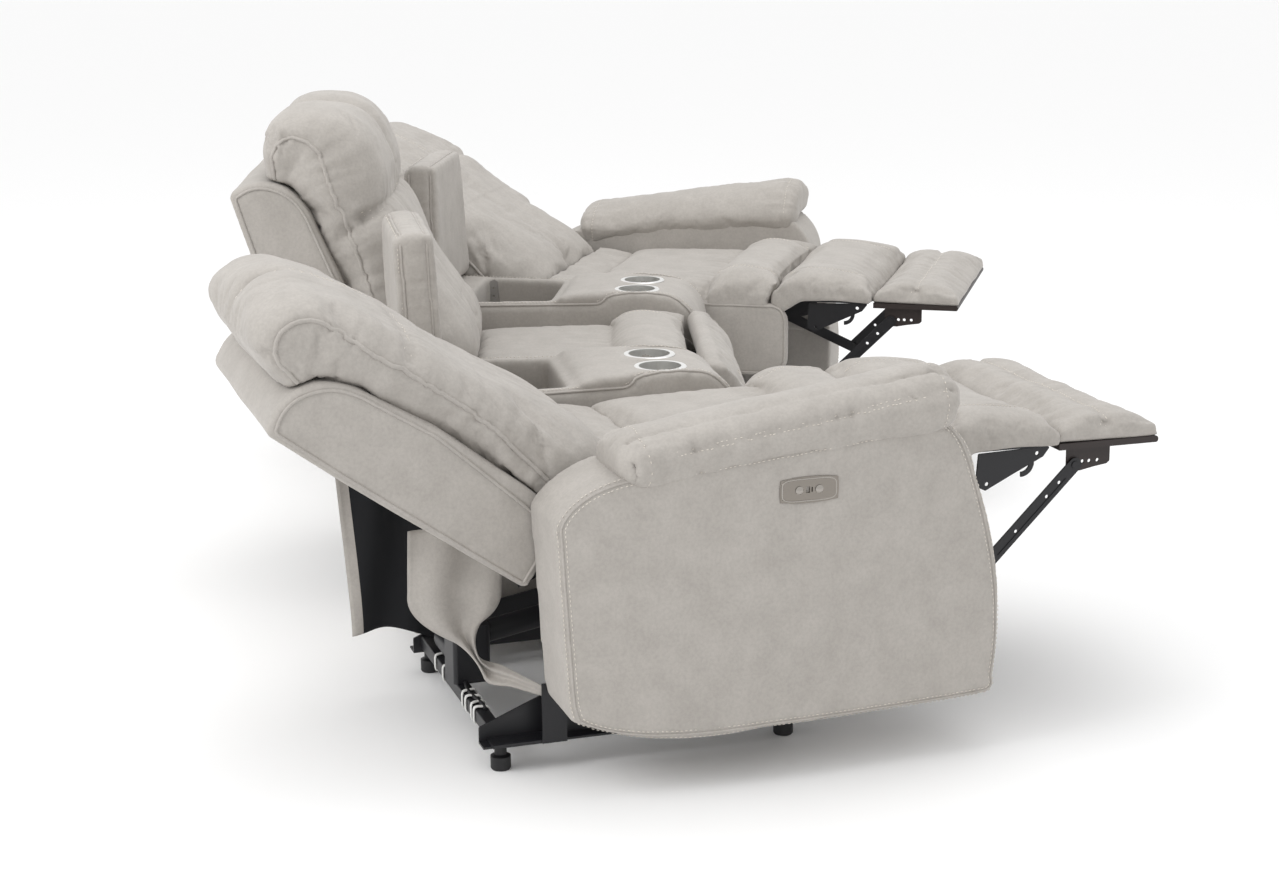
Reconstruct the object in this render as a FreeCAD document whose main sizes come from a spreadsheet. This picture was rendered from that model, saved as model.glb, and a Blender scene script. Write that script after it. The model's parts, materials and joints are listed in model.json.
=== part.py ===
import FreeCAD, Part
import math
import os
import Sketcher
from FreeCAD import Placement, Rotation, Vector

# Curved three-seat power reclining sofa with two wedge consoles and two end arms.
# Every seat is drawn once in its own frame, closed and upright: X across the seat, Y to the
# rear, Z up, origin on the floor under the seat's middle. The end seats then stand reclined
# with their footrests out, and the middle seat stays closed.

SIZES = [
    ("wedge_angle", 16, "angle between neighbouring seats, degrees"),
    ("seat_width", 612, "clear width between arms and consoles"),
    ("side_gap", 4, "running gap between a seat and what stands beside it"),
    ("deck_height", 383, "top of the seat deck"),
    ("front_line", 355, "console front ahead of the seat origin"),
    ("console_front_width", 225, "console width at its front"),
    ("console_depth", 672, "console length, front to rear"),
    ("console_bottom", 62, "console's lower edge above the floor"),
    ("console_rim", 535, "top of the console's side walls"),
    ("console_crown", 557, "top of the padded block with the cups"),
    ("console_wall", 28, "padded wall of the storage bin"),
    ("bin_front", 352, "front end of the bin behind the console front"),
    ("bin_rear", 548, "rear end of the bin behind the console front"),
    ("bin_floor", 330, "inside floor of the bin"),
    ("cup_radius", 43, "inside radius of a cup holder"),
    ("cup_wall", 1.2, "sheet of a cup holder"),
    ("cup_depth", 72, "inside depth of a cup holder"),
    ("cup_flange", 54, "outer radius of a cup holder's flange"),
    ("cup_spacing", 124, "distance between the two cups of a console"),
    ("cup_setback", 150, "cup centres behind the console front"),
    ("lid_length", 312, "console lid, hinge end to free end"),
    ("lid_thickness", 75, "padded lid thickness"),
    ("lid_lean", 2.5, "backward lean of the open lid, degrees"),
    ("lid_pivot_back", 630, "lid pivot behind the console front"),
    ("lid_pivot_height", "=console_rim + 33", "lid pivot above the floor"),
    ("arm_width", 186, "end arm, inner to outer face"),
    ("arm_bottom", 100, "arm panel's lower edge above the floor"),
    ("arm_front", 556, "most forward point of the arm panel"),
    ("arm_rear", 240, "rear face of the arm panel"),
    ("arm_swell", 28, "outward swell of the arm's outer face"),
    ("pad_front_height", 688, "top of the arm pad at its front"),
    ("pad_rear_height", 604, "top of the arm pad at its rear"),
    ("pad_thickness", 72, "arm pad at its front"),
    ("plate_length", 104, "control plate length"),
    ("plate_height", 46, "control plate height at its middle"),
    ("plate_thickness", 4, "control plate thickness"),
    ("button_radius", 7, "push button radius"),
    ("button_travel", 1.5, "push button travel"),
    ("button_spacing", 36, "distance between the two buttons"),
    ("foot_height", 45, "foot height"),
    ("foot_radius", 18, "foot radius"),
    ("foot_front", 230, "front feet ahead of the seat origin"),
    ("foot_rear", 300, "rear feet behind the seat origin"),
    ("rail_plane", "=seat_width / 2 - 50", "inner face of a base side rail from the seat's middle"),
    ("rail_sheet", 4, "base rail steel"),
    ("bar_side", 25, "square cross bar"),
    ("plate_plane", "=seat_width / 2 - 62", "inner face of a carriage plate from the seat's middle"),
    ("plate_sheet", 4, "carriage plate steel"),
    ("link_width", 26, "footrest link width"),
    ("link_sheet", 3.5, "footrest link steel"),
    ("pin_radius", 5, "link pin radius"),
    ("pin_clearance", 0.25, "radial clearance of a pin in its link"),
    ("slide_forward", 205, "forward travel of the seat as it reclines"),
    ("slide_rise", 37, "rise of the seat over that travel"),
    ("recline_angle", 36, "backrest travel, degrees"),
    ("recline_pivot_back", 342, "backrest pivot behind the seat origin"),
    ("recline_pivot_height", "=deck_height - 25", "backrest pivot above the floor"),
    ("knuckle_front", 358, "footrest pivot line ahead of the seat origin"),
    ("knuckle_height", "=deck_height + 80", "footrest pivot line above the floor"),
    ("knuckle_radius", 57, "roll at the seat's front edge"),
    ("chaise_length", 195, "pad between the seat and the footrest"),
    ("footrest_length", 208, "footrest pad"),
    ("footrest_width", "=seat_width - 40", "footrest pad and board width"),
    ("footrest_tuck", 8, "inward tuck of the closed footrest, degrees"),
    ("board_thickness", 12, "footrest board"),
    ("lift_link", 250, "long footrest link between pivots"),
    ("lift_link_slope", 45, "slope of that link with the footrest out, degrees"),
    ("lift_link_fold", 20, "slope of that link with the footrest in, degrees"),
    ("drive_offset", 150, "drive link pivot off the line between its two end poses"),
    ("bracket_back", 45, "bracket pivot ahead of the footrest seam"),
    ("bracket_drop", 46, "bracket pivot below the board's upper face"),
    ("shell_half_width", "=seat_width / 2 - 6", "half width of the back shell"),
    ("cushion_half_width", "=seat_width / 2 - 20", "half width of the back cushion"),
    ("panel_top", "=deck_height + 72", "top of the seat box side panels"),
    ("panel_bottom", "=deck_height - 108", "lower edge of the seat box side panels"),
    ("panel_wall", 22, "padded seat box side panel"),
    ("flap_plane", "=seat_width / 2 - 106", "rear cloth panels from the seat's middle"),
    ("flap_top", "=deck_height - 67", "top of the rear cloth panels' fixed part"),
    ("seat_crown", "=deck_height + 95", "top of the seat cushion"),
    ("bolster_crown", "=knuckle_height + 51", "top of the front bolster"),
]

doc = FreeCAD.newDocument("reclining_sofa")
sheet = doc.addObject("Spreadsheet::Sheet", "Sizes")
for row, (alias, value, meaning) in enumerate(SIZES, start=1):
    sheet.set(f"A{row}", meaning)
    sheet.set(f"B{row}", str(value))
    sheet.setAlias(f"B{row}", alias)
doc.recompute()


def size(alias):
    return float(sheet.get(alias))


def turned(angle, point):
    """Point (y, z) turned about the origin, positive from rear to up."""
    a = math.radians(angle)
    y, z = point
    return (y * math.cos(a) - z * math.sin(a), y * math.sin(a) + z * math.cos(a))


def turned_about(pivot, angle, point):
    y, z = turned(angle, (point[0] - pivot[0], point[1] - pivot[1]))
    return (pivot[0] + y, pivot[1] + z)


def slope(start, end):
    return math.degrees(math.atan2(end[1] - start[1], end[0] - start[0]))


# Pivots of one seat in its own frame, closed, as (y, z)
SEAT_HALF = size("seat_width") / 2 - size("side_gap")
KNUCKLE = (-size("knuckle_front"), size("knuckle_height"))
SEAM = (KNUCKLE[0], KNUCKLE[1] - size("chaise_length") - 1)
BACK_PIVOT = (size("recline_pivot_back"), size("recline_pivot_height"))
FOOTREST_SWING = 90.0


def footrest_linkage():
    """Pivots of the two-link chain that carries the footrest bracket.

    The bracket's two end places are known, and so is the long link's slope in each. The drive
    link's fixed pivot then lies on the perpendicular bisector of the elbow's two places.
    """
    seam_open = turned_about(KNUCKLE, -FOOTREST_SWING, SEAM)
    bracket_open = (seam_open[0] - size("bracket_back"), seam_open[1] - size("bracket_drop"))
    untucked = turned_about(KNUCKLE, FOOTREST_SWING, bracket_open)
    bracket_shut = turned_about(SEAM, size("footrest_tuck"), untucked)
    reach = size("lift_link")
    step = turned(-size("lift_link_slope"), (reach, 0))
    elbow_open = (bracket_open[0] + step[0], bracket_open[1] + step[1])
    step = turned(-size("lift_link_fold"), (reach, 0))
    elbow_shut = (bracket_shut[0] + step[0], bracket_shut[1] + step[1])
    along = (elbow_shut[0] - elbow_open[0], elbow_shut[1] - elbow_open[1])
    span = math.hypot(*along)
    normal = (-along[1] / span, along[0] / span)
    middle = ((elbow_open[0] + elbow_shut[0]) / 2, (elbow_open[1] + elbow_shut[1]) / 2)
    fixed = (
        middle[0] + normal[0] * size("drive_offset"),
        middle[1] + normal[1] * size("drive_offset"),
    )
    drive_shut = slope(fixed, elbow_shut)
    drive_open = slope(fixed, elbow_open)
    if drive_open > drive_shut:
        drive_open -= 360
    lift_shut = slope(elbow_shut, bracket_shut)
    lift_open = slope(elbow_open, bracket_open)
    return {
        "fixed": fixed,
        "elbow": elbow_shut,
        "bracket": bracket_shut,
        "bracket_untucked": untucked,
        "drive_length": math.hypot(elbow_shut[0] - fixed[0], elbow_shut[1] - fixed[1]),
        "drive_turn": drive_open - drive_shut,
        "lift_turn": lift_open - lift_shut,
    }


LINKAGE = footrest_linkage()


def yz_turn(pivot, angle):
    """Placement that turns a closed piece about an X line through (y, z)."""
    spin = Rotation(Vector(1, 0, 0), angle)
    return Placement(Vector(0, 0, 0), spin, Vector(0, pivot[0], pivot[1]))


def seat_motion(share):
    """Placement of each moving group of a seat, from 0 closed to 1 reclined."""
    slide = Placement(
        Vector(0, -size("slide_forward") * share, size("slide_rise") * share), Rotation()
    )
    back = slide.multiply(yz_turn(BACK_PIVOT, -size("recline_angle") * share))
    chaise = slide.multiply(yz_turn(KNUCKLE, -FOOTREST_SWING * share))
    footrest = chaise.multiply(yz_turn(SEAM, size("footrest_tuck") * (1 - share)))
    drive = slide.multiply(yz_turn(LINKAGE["fixed"], LINKAGE["drive_turn"] * share))
    elbow_turn = (LINKAGE["lift_turn"] - LINKAGE["drive_turn"]) * share
    lift = drive.multiply(yz_turn(LINKAGE["elbow"], elbow_turn))
    return {
        "base": Placement(),
        "carriage": slide,
        "back": back,
        "chaise": chaise,
        "footrest": footrest,
        "drive": drive,
        "lift": lift,
    }


def seat_origin(side):
    """Seat frame: -1 near end seat, 0 middle seat, 1 far end seat."""
    if side == 0:
        return Placement()
    half_wedge = math.radians(size("wedge_angle") / 2)
    wedge = math.radians(size("wedge_angle"))
    half = size("seat_width") / 2
    inner_x = half + size("console_front_width") * math.cos(half_wedge)
    inner_y = -size("front_line") - size("console_front_width") * math.sin(half_wedge)
    x = inner_x + half * math.cos(wedge) + size("front_line") * math.sin(wedge)
    y = inner_y - half * math.sin(wedge) + size("front_line") * math.cos(wedge)
    spin = Rotation(Vector(0, 0, 1), -side * size("wedge_angle"))
    return Placement(Vector(side * x, y, 0), spin)


def console_origin(side):
    """Console frame: origin on the floor at the middle of its front edge."""
    half_wedge = math.radians(size("wedge_angle") / 2)
    half = size("console_front_width") / 2
    x = size("seat_width") / 2 + half * math.cos(half_wedge)
    y = -size("front_line") - half * math.sin(half_wedge)
    spin = Rotation(Vector(0, 0, 1), -side * size("wedge_angle") / 2)
    return Placement(Vector(side * x, y, 0), spin)


def hidden(name, kind="Part::Feature"):
    return doc.addObject(kind, name)


def solid_object(name, shape):
    """Document object for a form that neither a sketch nor a primitive gives."""
    made = hidden(name)
    made.Shape = shape
    return made


def edges_of(points):
    """Edges through a list of ("line", point) and ("arc", middle, end) steps."""
    start = points[0]
    here = start
    edges = []
    for step in points[1:]:
        if step[0] == "arc":
            edges.append(Part.Arc(here, step[1], step[2]).toShape())
        else:
            edges.append(Part.LineSegment(here, step[1]).toShape())
        here = step[-1]
    edges.append(Part.LineSegment(here, start).toShape())
    return edges


def wire_at_x(x, steps):
    """Closed wire in the plane at x from steps written as (y, z)."""
    points = [Vector(x, *steps[0])]
    for step in steps[1:]:
        points.append((step[0],) + tuple(Vector(x, *p) for p in step[1:]))
    return Part.Wire(edges_of(points))


def wire_at_y(y, steps):
    points = [Vector(steps[0][0], y, steps[0][1])]
    for step in steps[1:]:
        points.append((step[0],) + tuple(Vector(p[0], y, p[1]) for p in step[1:]))
    return Part.Wire(edges_of(points))


def mixed(first, second, share):
    """Steps part way between two outlines of the same kinds of step."""
    def blend(p, q):
        return (p[0] + (q[0] - p[0]) * share, p[1] + (q[1] - p[1]) * share)

    result = [blend(first[0], second[0])]
    for one, two in zip(first[1:], second[1:]):
        result.append((one[0],) + tuple(blend(p, q) for p, q in zip(one[1:], two[1:])))
    return result


def prism(steps, x_from, x_to):
    face = Part.Face(wire_at_x(x_from, steps))
    return face.extrude(Vector(x_to - x_from, 0, 0))


def both_sides(shape):
    """The shape and its mirror image across the seat's middle plane."""
    return Part.makeCompound([shape, shape.mirror(Vector(0, 0, 0), Vector(1, 0, 0))])


def rod_x(pivot, radius, x_from, x_to):
    return Part.makeCylinder(
        radius, x_to - x_from, Vector(x_from, pivot[0], pivot[1]), Vector(1, 0, 0)
    )


def plane_of(body, role):
    for feature in body.Origin.OriginFeatures:
        if feature.Role == role:
            return feature
    raise ValueError(role)


def new_sketch(body, name, role):
    sketch = body.newObject("Sketcher::SketchObject", name)
    sketch.AttachmentSupport = [(plane_of(body, role), "")]
    sketch.MapMode = "FlatFace"
    return sketch


def bind(sketch, kind, expression, *where):
    """Add a distance constraint and bind it to the sheet."""
    index = sketch.addConstraint(Sketcher.Constraint(kind, *where, 10.0))
    sketch.setExpression(f"Constraints[{index}]", expression)


def polygon(sketch, corners):
    """Closed outline whose corners are bound to pairs of expressions."""
    count = len(corners)
    first = sketch.GeometryCount
    for i in range(count):
        a = -2 * math.pi * i / count
        b = -2 * math.pi * (i + 1) / count
        start = Vector(100 * math.cos(a), 100 * math.sin(a), 0)
        end = Vector(100 * math.cos(b), 100 * math.sin(b), 0)
        sketch.addGeometry(Part.LineSegment(start, end))
    for i in range(count):
        after = first + (i + 1) % count
        sketch.addConstraint(Sketcher.Constraint("Coincident", first + i, 2, after, 1))
    for i, (x, y) in enumerate(corners):
        bind(sketch, "DistanceX", x, -1, 1, first + i, 1)
        bind(sketch, "DistanceY", y, -1, 1, first + i, 1)


def circle(sketch, x, y, radius):
    index = sketch.addGeometry(Part.Circle(Vector(1, 1, 0), Vector(0, 0, 1), 5))
    bind(sketch, "DistanceX", x, -1, 1, index, 3)
    bind(sketch, "DistanceY", y, -1, 1, index, 3)
    bind(sketch, "Radius", radius, index)


def pad(body, sketch, name, length, reversed_way=False):
    made = body.newObject("PartDesign::Pad", name)
    made.Profile = sketch
    made.setExpression("Length", length)
    made.Reversed = reversed_way
    doc.recompute()
    return made


def pocket(body, sketch, name):
    made = body.newObject("PartDesign::Pocket", name)
    made.Profile = sketch
    made.Type = 1
    made.Midplane = True
    doc.recompute()
    return made


def foot():
    """Turned foot: a rubber-like puck with a waist and a top boss."""
    body = hidden("foot_form", "PartDesign::Body")
    sketch = new_sketch(body, "foot_profile", "XZ_Plane")
    polygon(sketch, [
        ("0", "0"),
        ("Sizes.foot_radius - 2", "0"),
        ("Sizes.foot_radius", "3"),
        ("Sizes.foot_radius", "Sizes.foot_height * 0.55"),
        ("Sizes.foot_radius * 0.6", "Sizes.foot_height * 0.62"),
        ("Sizes.foot_radius * 0.6", "Sizes.foot_height"),
        ("0", "Sizes.foot_height"),
    ])
    doc.recompute()
    turn = body.newObject("PartDesign::Revolution", "foot_turn")
    turn.Profile = sketch
    turn.ReferenceAxis = (sketch, ["V_Axis"])
    turn.Angle = 360
    doc.recompute()
    return body


def link(name, length, holes):
    """Steel link along +Y from its own pivot, with a raised rib and a row of holes."""
    body = hidden(name, "PartDesign::Body")
    sketch = new_sketch(body, name + "_outline", "YZ_Plane")
    half = "(Sizes.link_width / 2)"
    corners = [
        (f"-{half}", f"-{half}"),
        (f"{length} + {half}", f"-{half}"),
        (f"{length} + {half}", f"{half}"),
        (f"-{half}", f"{half}"),
    ]
    polygon(sketch, corners)
    doc.recompute()
    plate = pad(body, sketch, name + "_plate", "Sizes.link_sheet")
    rounding = body.newObject("PartDesign::Fillet", name + "_ends")
    rounding.Base = (plate, corner_edges(plate.Shape))
    rounding.setExpression("Radius", "Sizes.link_width / 2 - 0.5")
    doc.recompute()
    bores = new_sketch(body, name + "_holes", "YZ_Plane")
    circle(bores, "0", "0", "Sizes.pin_radius + Sizes.pin_clearance")
    for place in holes:
        circle(bores, place, "0", "3.5")
    doc.recompute()
    pocket(body, bores, name + "_drilled")
    return body


def corner_edges(shape):
    """Names of the edges that run along X, the corners of a plate lying in YZ."""
    names = []
    for i, edge in enumerate(shape.Edges, start=1):
        ends = edge.Vertexes
        if len(ends) == 2:
            run = ends[1].Point - ends[0].Point
            if abs(run.y) < 1e-6 and abs(run.z) < 1e-6:
                names.append(f"Edge{i}")
    return names


def plate_body(name, corners, thickness, fillet=None, holes=()):
    """Flat plate in YZ with its lower X face on the seat's middle plane."""
    body = hidden(name, "PartDesign::Body")
    sketch = new_sketch(body, name + "_outline", "YZ_Plane")
    polygon(sketch, corners)
    doc.recompute()
    plate = pad(body, sketch, name + "_plate", thickness)
    if fillet:
        rounding = body.newObject("PartDesign::Fillet", name + "_corners")
        rounding.Base = (plate, corner_edges(plate.Shape))
        rounding.setExpression("Radius", fillet)
        doc.recompute()
    if holes:
        bores = new_sketch(body, name + "_holes", "YZ_Plane")
        for y, z, radius in holes:
            circle(bores, y, z, radius)
        doc.recompute()
        pocket(body, bores, name + "_drilled")
    return body


def mm(value):
    return f"{value:.4f}"


def at_side(shape, x):
    """Copies of a plate drawn at X = 0, with their inner faces at +x and -x."""
    moved = shape.copy()
    moved.translate(Vector(x, 0, 0))
    return both_sides(moved)


BAR_LIFT = 4.0
FLAP_SHEET = 3.0
TRACK_SLOPE = size("slide_rise") / size("slide_forward")
TRACK_REAR = (200.0, 130.0)
ROLLER_RADIUS = 15.0
ROLLER_REAR_Y = 180.0
ROLLER_FRONT_Y = -70.0
ROLLER_GAP = 0.3


def track_height(y):
    """Height of the inclined track on a base rail."""
    return TRACK_REAR[1] - TRACK_SLOPE * (y - TRACK_REAR[0])


def roller_centre(y):
    rise = (ROLLER_RADIUS + ROLLER_GAP) * math.hypot(1, TRACK_SLOPE)
    return (y, track_height(y) + rise)


def side_rails():
    """Base rails: upright plate with the track on its upper edge and a foot flange."""
    front = -300.0
    rear = 335.0
    top = [
        (front, size("foot_height")),
        (rear, size("foot_height")),
        (rear, size("foot_height") + 30),
        (TRACK_REAR[0] + 30, track_height(TRACK_REAR[0]) - 12),
        TRACK_REAR,
        (-240.0, track_height(-240.0)),
        (-270.0, track_height(-240.0) - 10),
        (front, size("foot_height") + 50),
    ]
    corners = [(mm(y), mm(z)) for y, z in top]
    plate = plate_body("rail_form", corners, "Sizes.rail_sheet", "4", [
        (mm(y), mm(z), "9") for y, z in ((-150, 110), (-40, 100), (70, 92), (180, 85))
    ])
    flange = Part.makeBox(
        34, rear - front, size("rail_sheet"),
        Vector(size("rail_plane"), front, size("foot_height")),
    )
    upright = plate.Shape.copy()
    upright.translate(Vector(size("rail_plane"), 0, 0))
    return solid_object("side_rails_form", both_sides(upright.fuse(flange).removeSplitter()))


POST_STEP = 90.0


def cross_bars():
    """Two square bars that tie the rails and reach the arms or consoles on both sides."""
    bars = []
    for name, y in (("front_bar", "-Sizes.foot_front - 30"), ("rear_bar", "Sizes.foot_rear + 8")):
        bar = hidden(name, "Part::Box")
        bar.setExpression("Length", "2 * (Sizes.rail_plane - 0.2)")
        bar.setExpression("Width", "Sizes.bar_side")
        bar.setExpression("Height", "Sizes.bar_side")
        bar.setExpression("Placement.Base.x", "-(Sizes.rail_plane - 0.2)")
        bar.setExpression("Placement.Base.y", f"{y} - Sizes.bar_side / 2")
        bar.setExpression("Placement.Base.z", f"Sizes.foot_height + Sizes.rail_sheet + {BAR_LIFT}")
        rounded = hidden(name + "_rounded", "Part::Fillet")
        rounded.Base = bar
        doc.recompute()
        rounded.Edges = [(i + 1, 3.0, 3.0) for i, e in enumerate(bar.Shape.Edges)
                         if abs(e.Vertexes[0].X - e.Vertexes[1].X) > 1]
        bars.append(rounded)
    doc.recompute()
    solids = [bar.Shape for bar in bars]
    reach = size("seat_width") / 2
    inner = size("rail_plane") + size("rail_sheet") + 0.2
    low = size("foot_height") + size("rail_sheet")
    for y, post_y in ((-size("foot_front") - 30, -size("foot_front") - 30),
                      (size("foot_rear") + 8, size("foot_rear") - POST_STEP)):
        ear = Part.makeBox(
            reach - 3 - inner, y - post_y + size("bar_side"), 6,
            Vector(inner, post_y - size("bar_side") / 2, low),
        )
        post = Part.makeBox(
            3, size("bar_side") + 20, 110,
            Vector(reach - 3.4, post_y - size("bar_side") / 2 - 10, low),
        )
        outrigger = ear.fuse(post)
        solids.append(outrigger)
        solids.append(outrigger.mirror(Vector(0, 0, 0), Vector(1, 0, 0)))
    return solid_object("cross_bars_form", Part.makeCompound(solids))


MOTOR_AXIS_POINT = (-150.0, 235.0)
MOTOR_FRONT_Y = 20.0
MOTOR_REAR_Y = 285.0
ROD_REAR_Y = 248.0
ROD_RADIUS = 11.0
MOTOR_RADIUS = 21.0


def motor_axis(y):
    return Vector(0, y, MOTOR_AXIS_POINT[1] - TRACK_SLOPE * (y - MOTOR_AXIS_POINT[0]))


def motor():
    """Linear actuator: bored tube, gearbox, and a lug that stands on the rear bar."""
    run = motor_axis(MOTOR_REAR_Y) - motor_axis(MOTOR_FRONT_Y)
    tube = Part.makeCylinder(MOTOR_RADIUS, run.Length, motor_axis(MOTOR_FRONT_Y), run)
    bar_top = rear_bar_top()
    rear = motor_axis(MOTOR_REAR_Y)
    box = Part.makeBox(80, 70, rear.z + 30 - bar_top, Vector(-40, rear.y - 30, bar_top))
    box = box.makeFillet(8, [e for e in box.Edges if abs(e.Vertexes[0].Z - e.Vertexes[1].Z) > 1])
    drum = Part.makeCylinder(28, 110, Vector(45, rear.y + 5, bar_top + 30), Vector(-1, 0, 0))
    drum.translate(Vector(105, 0, 0))
    bore_end = motor_axis(ROD_REAR_Y + 6) - motor_axis(MOTOR_FRONT_Y - 1)
    bore = Part.makeCylinder(
        ROD_RADIUS + 0.5, bore_end.Length, motor_axis(MOTOR_FRONT_Y - 1), bore_end
    )
    whole = tube.fuse([box, drum]).removeSplitter()
    return solid_object("motor_form", whole.cut(bore))


def carriage_frame():
    """Steel side plates, rollers, front cross tube and the actuator's rod."""
    rear_roller = roller_centre(ROLLER_REAR_Y)
    front_roller = roller_centre(ROLLER_FRONT_Y)
    deck_under = size("deck_height") - 12.2
    corners = [
        (-330, deck_under), (-330, deck_under - 40), (-235, LINKAGE["fixed"][1] - 30),
        (front_roller[0] - 26, front_roller[1] - 8), (front_roller[0] + 26, front_roller[1] - 8),
        (rear_roller[0] - 30, rear_roller[1] - 8), (rear_roller[0] + 26, rear_roller[1] - 8),
        (BACK_PIVOT[0] + 18, BACK_PIVOT[1] - 24), (BACK_PIVOT[0] + 18, BACK_PIVOT[1] + 20),
        (BACK_PIVOT[0] - 30, BACK_PIVOT[1] + 20), (BACK_PIVOT[0] - 50, deck_under),
    ]
    plate = plate_body(
        "carriage_plate_form", [(mm(y), mm(z)) for y, z in corners], "Sizes.plate_sheet", None,
        [
            (mm(LINKAGE["fixed"][0]), mm(LINKAGE["fixed"][1]),
             "Sizes.pin_radius + 5 + Sizes.pin_clearance"),
            (mm(60), mm(300), "22"), (mm(140), mm(290), "22"),
            (mm(-20), mm(305), "22"),
        ],
    )
    side = plate.Shape.copy()
    side.translate(Vector(size("plate_plane"), 0, 0))
    outer = size("plate_plane") + size("plate_sheet")
    rollers = []
    for centre in (front_roller, rear_roller):
        rollers.append(rod_x(centre, 6, outer - 1, outer + 5))
        rollers.append(rod_x(centre, ROLLER_RADIUS, outer + 3, outer + 15))
    pivot_pin = rod_x(BACK_PIVOT, size("pin_radius") + 3, size("plate_plane") - 7, outer)
    side = side.fuse(rollers + [pivot_pin]).removeSplitter()
    inner = size("plate_plane")
    tube = rod_x(MOTOR_AXIS_POINT, 12.5, -inner, inner)
    rod_run = motor_axis(ROD_REAR_Y) - motor_axis(MOTOR_AXIS_POINT[0] + 8)
    rod = Part.makeCylinder(
        ROD_RADIUS, rod_run.Length, motor_axis(MOTOR_AXIS_POINT[0] + 8), rod_run
    )
    bar = tube.fuse(rod).removeSplitter()
    return solid_object(
        "carriage_frame_form", Part.makeCompound(both_sides(side).Solids + [bar])
    )


LINK_INNER = size("rail_plane") + 6.5
LINK_OUTER = LINK_INNER + size("link_sheet") + 2
FLAP_PLATE = LINK_OUTER + 4.5
FLAP_SHEET_WIDTH = 46.0


def placed_link(body, start, end, x):
    """A link drawn along +Y, turned onto its two pivots."""
    shape = body.Shape.copy()
    shape.Placement = Placement(
        Vector(x, start[0], start[1]), Rotation(Vector(1, 0, 0), slope(start, end))
    ).multiply(shape.Placement)
    return shape


def drive_links():
    """Short links on a torque tube that turns in the carriage plates."""
    form = link("drive_link_form", mm(LINKAGE["drive_length"]), [mm(LINKAGE["drive_length"] * 0.5)])
    blade = placed_link(form, LINKAGE["fixed"], LINKAGE["elbow"], LINK_INNER)
    elbow_pin = rod_x(
        LINKAGE["elbow"], size("pin_radius"), LINK_INNER, LINK_OUTER + size("link_sheet") + 1.2
    )
    head = rod_x(
        LINKAGE["elbow"], size("pin_radius") + 3, LINK_OUTER + size("link_sheet") + 0.5,
        LINK_OUTER + size("link_sheet") + 2.5,
    )
    boss = rod_x(LINKAGE["fixed"], size("pin_radius") + 5, size("plate_plane") + 5, LINK_INNER + 3.5)
    blade = blade.fuse([elbow_pin, head, boss]).removeSplitter()
    tube = rod_x(
        LINKAGE["fixed"], size("pin_radius") + 5, -size("plate_plane") - 5, size("plate_plane") + 5
    )
    return solid_object("drive_links_form", Part.makeCompound(both_sides(blade).Solids + [tube]))


def lift_links():
    """Long links from the elbow up to the footrest bracket, ribbed like pressed steel."""
    form = link("lift_link_form", "Sizes.lift_link", [
        "Sizes.lift_link - 165", "Sizes.lift_link - 79", "Sizes.lift_link - 44",
    ])
    blade = placed_link(form, LINKAGE["elbow"], LINKAGE["bracket"], LINK_OUTER)
    rib = Part.makeBox(1.6, size("lift_link") - 60, 3, Vector(size("link_sheet"), 30, 4))
    rib.Placement = Placement(
        Vector(LINK_OUTER, LINKAGE["elbow"][0], LINKAGE["elbow"][1]),
        Rotation(Vector(1, 0, 0), slope(LINKAGE["elbow"], LINKAGE["bracket"])),
    ).multiply(rib.Placement)
    rivet = rod_x(
        LINKAGE["bracket"], size("pin_radius") + 2, LINK_OUTER,
        LINK_OUTER + size("link_sheet") + 2,
    )
    return solid_object(
        "lift_links_form", both_sides(blade.fuse([rib, rivet]).removeSplitter())
    )


def flap_brackets():
    """Strips and hooked arms under the chaise pad, drawn with the footrest out."""
    y, z = KNUCKLE
    arm = [
        (y - 42, z - 8), (y - 187, z - 4), (y - 172, z - 23), (y - 110, z - 52),
        (y - 57, z - 78), (y - 37, z - 68),
    ]
    plate = plate_body("flap_arm_form", [(mm(p[0]), mm(p[1])) for p in arm], "4", "3", [
        (mm(y - 60), mm(z - 66), "4"), (mm(y - 160), mm(z - 16), "4"),
    ])
    side = plate.Shape.copy()
    side.translate(Vector(FLAP_PLATE, 0, 0))
    flange = Part.makeBox(
        FLAP_SHEET_WIDTH, 175, 3.5,
        Vector(FLAP_PLATE + 4 - FLAP_SHEET_WIDTH, y - 187, z - 4.5),
    )
    hook_centre = (y - 128, z - 32)
    ring = rod_x(hook_centre, 26, FLAP_PLATE, FLAP_PLATE + 4)
    ring = ring.cut(rod_x(hook_centre, 17, FLAP_PLATE - 1, FLAP_PLATE + 5))
    keep = Part.makeBox(
        6, 60, 60, Vector(FLAP_PLATE - 1, hook_centre[0] - 60, hook_centre[1] - 60)
    )
    hook = ring.common(keep)
    whole = side.fuse([flange, hook]).removeSplitter()
    shape = both_sides(whole)
    shape.Placement = yz_turn(KNUCKLE, FOOTREST_SWING)
    return solid_object("flap_brackets_form", shape.copy())


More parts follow.
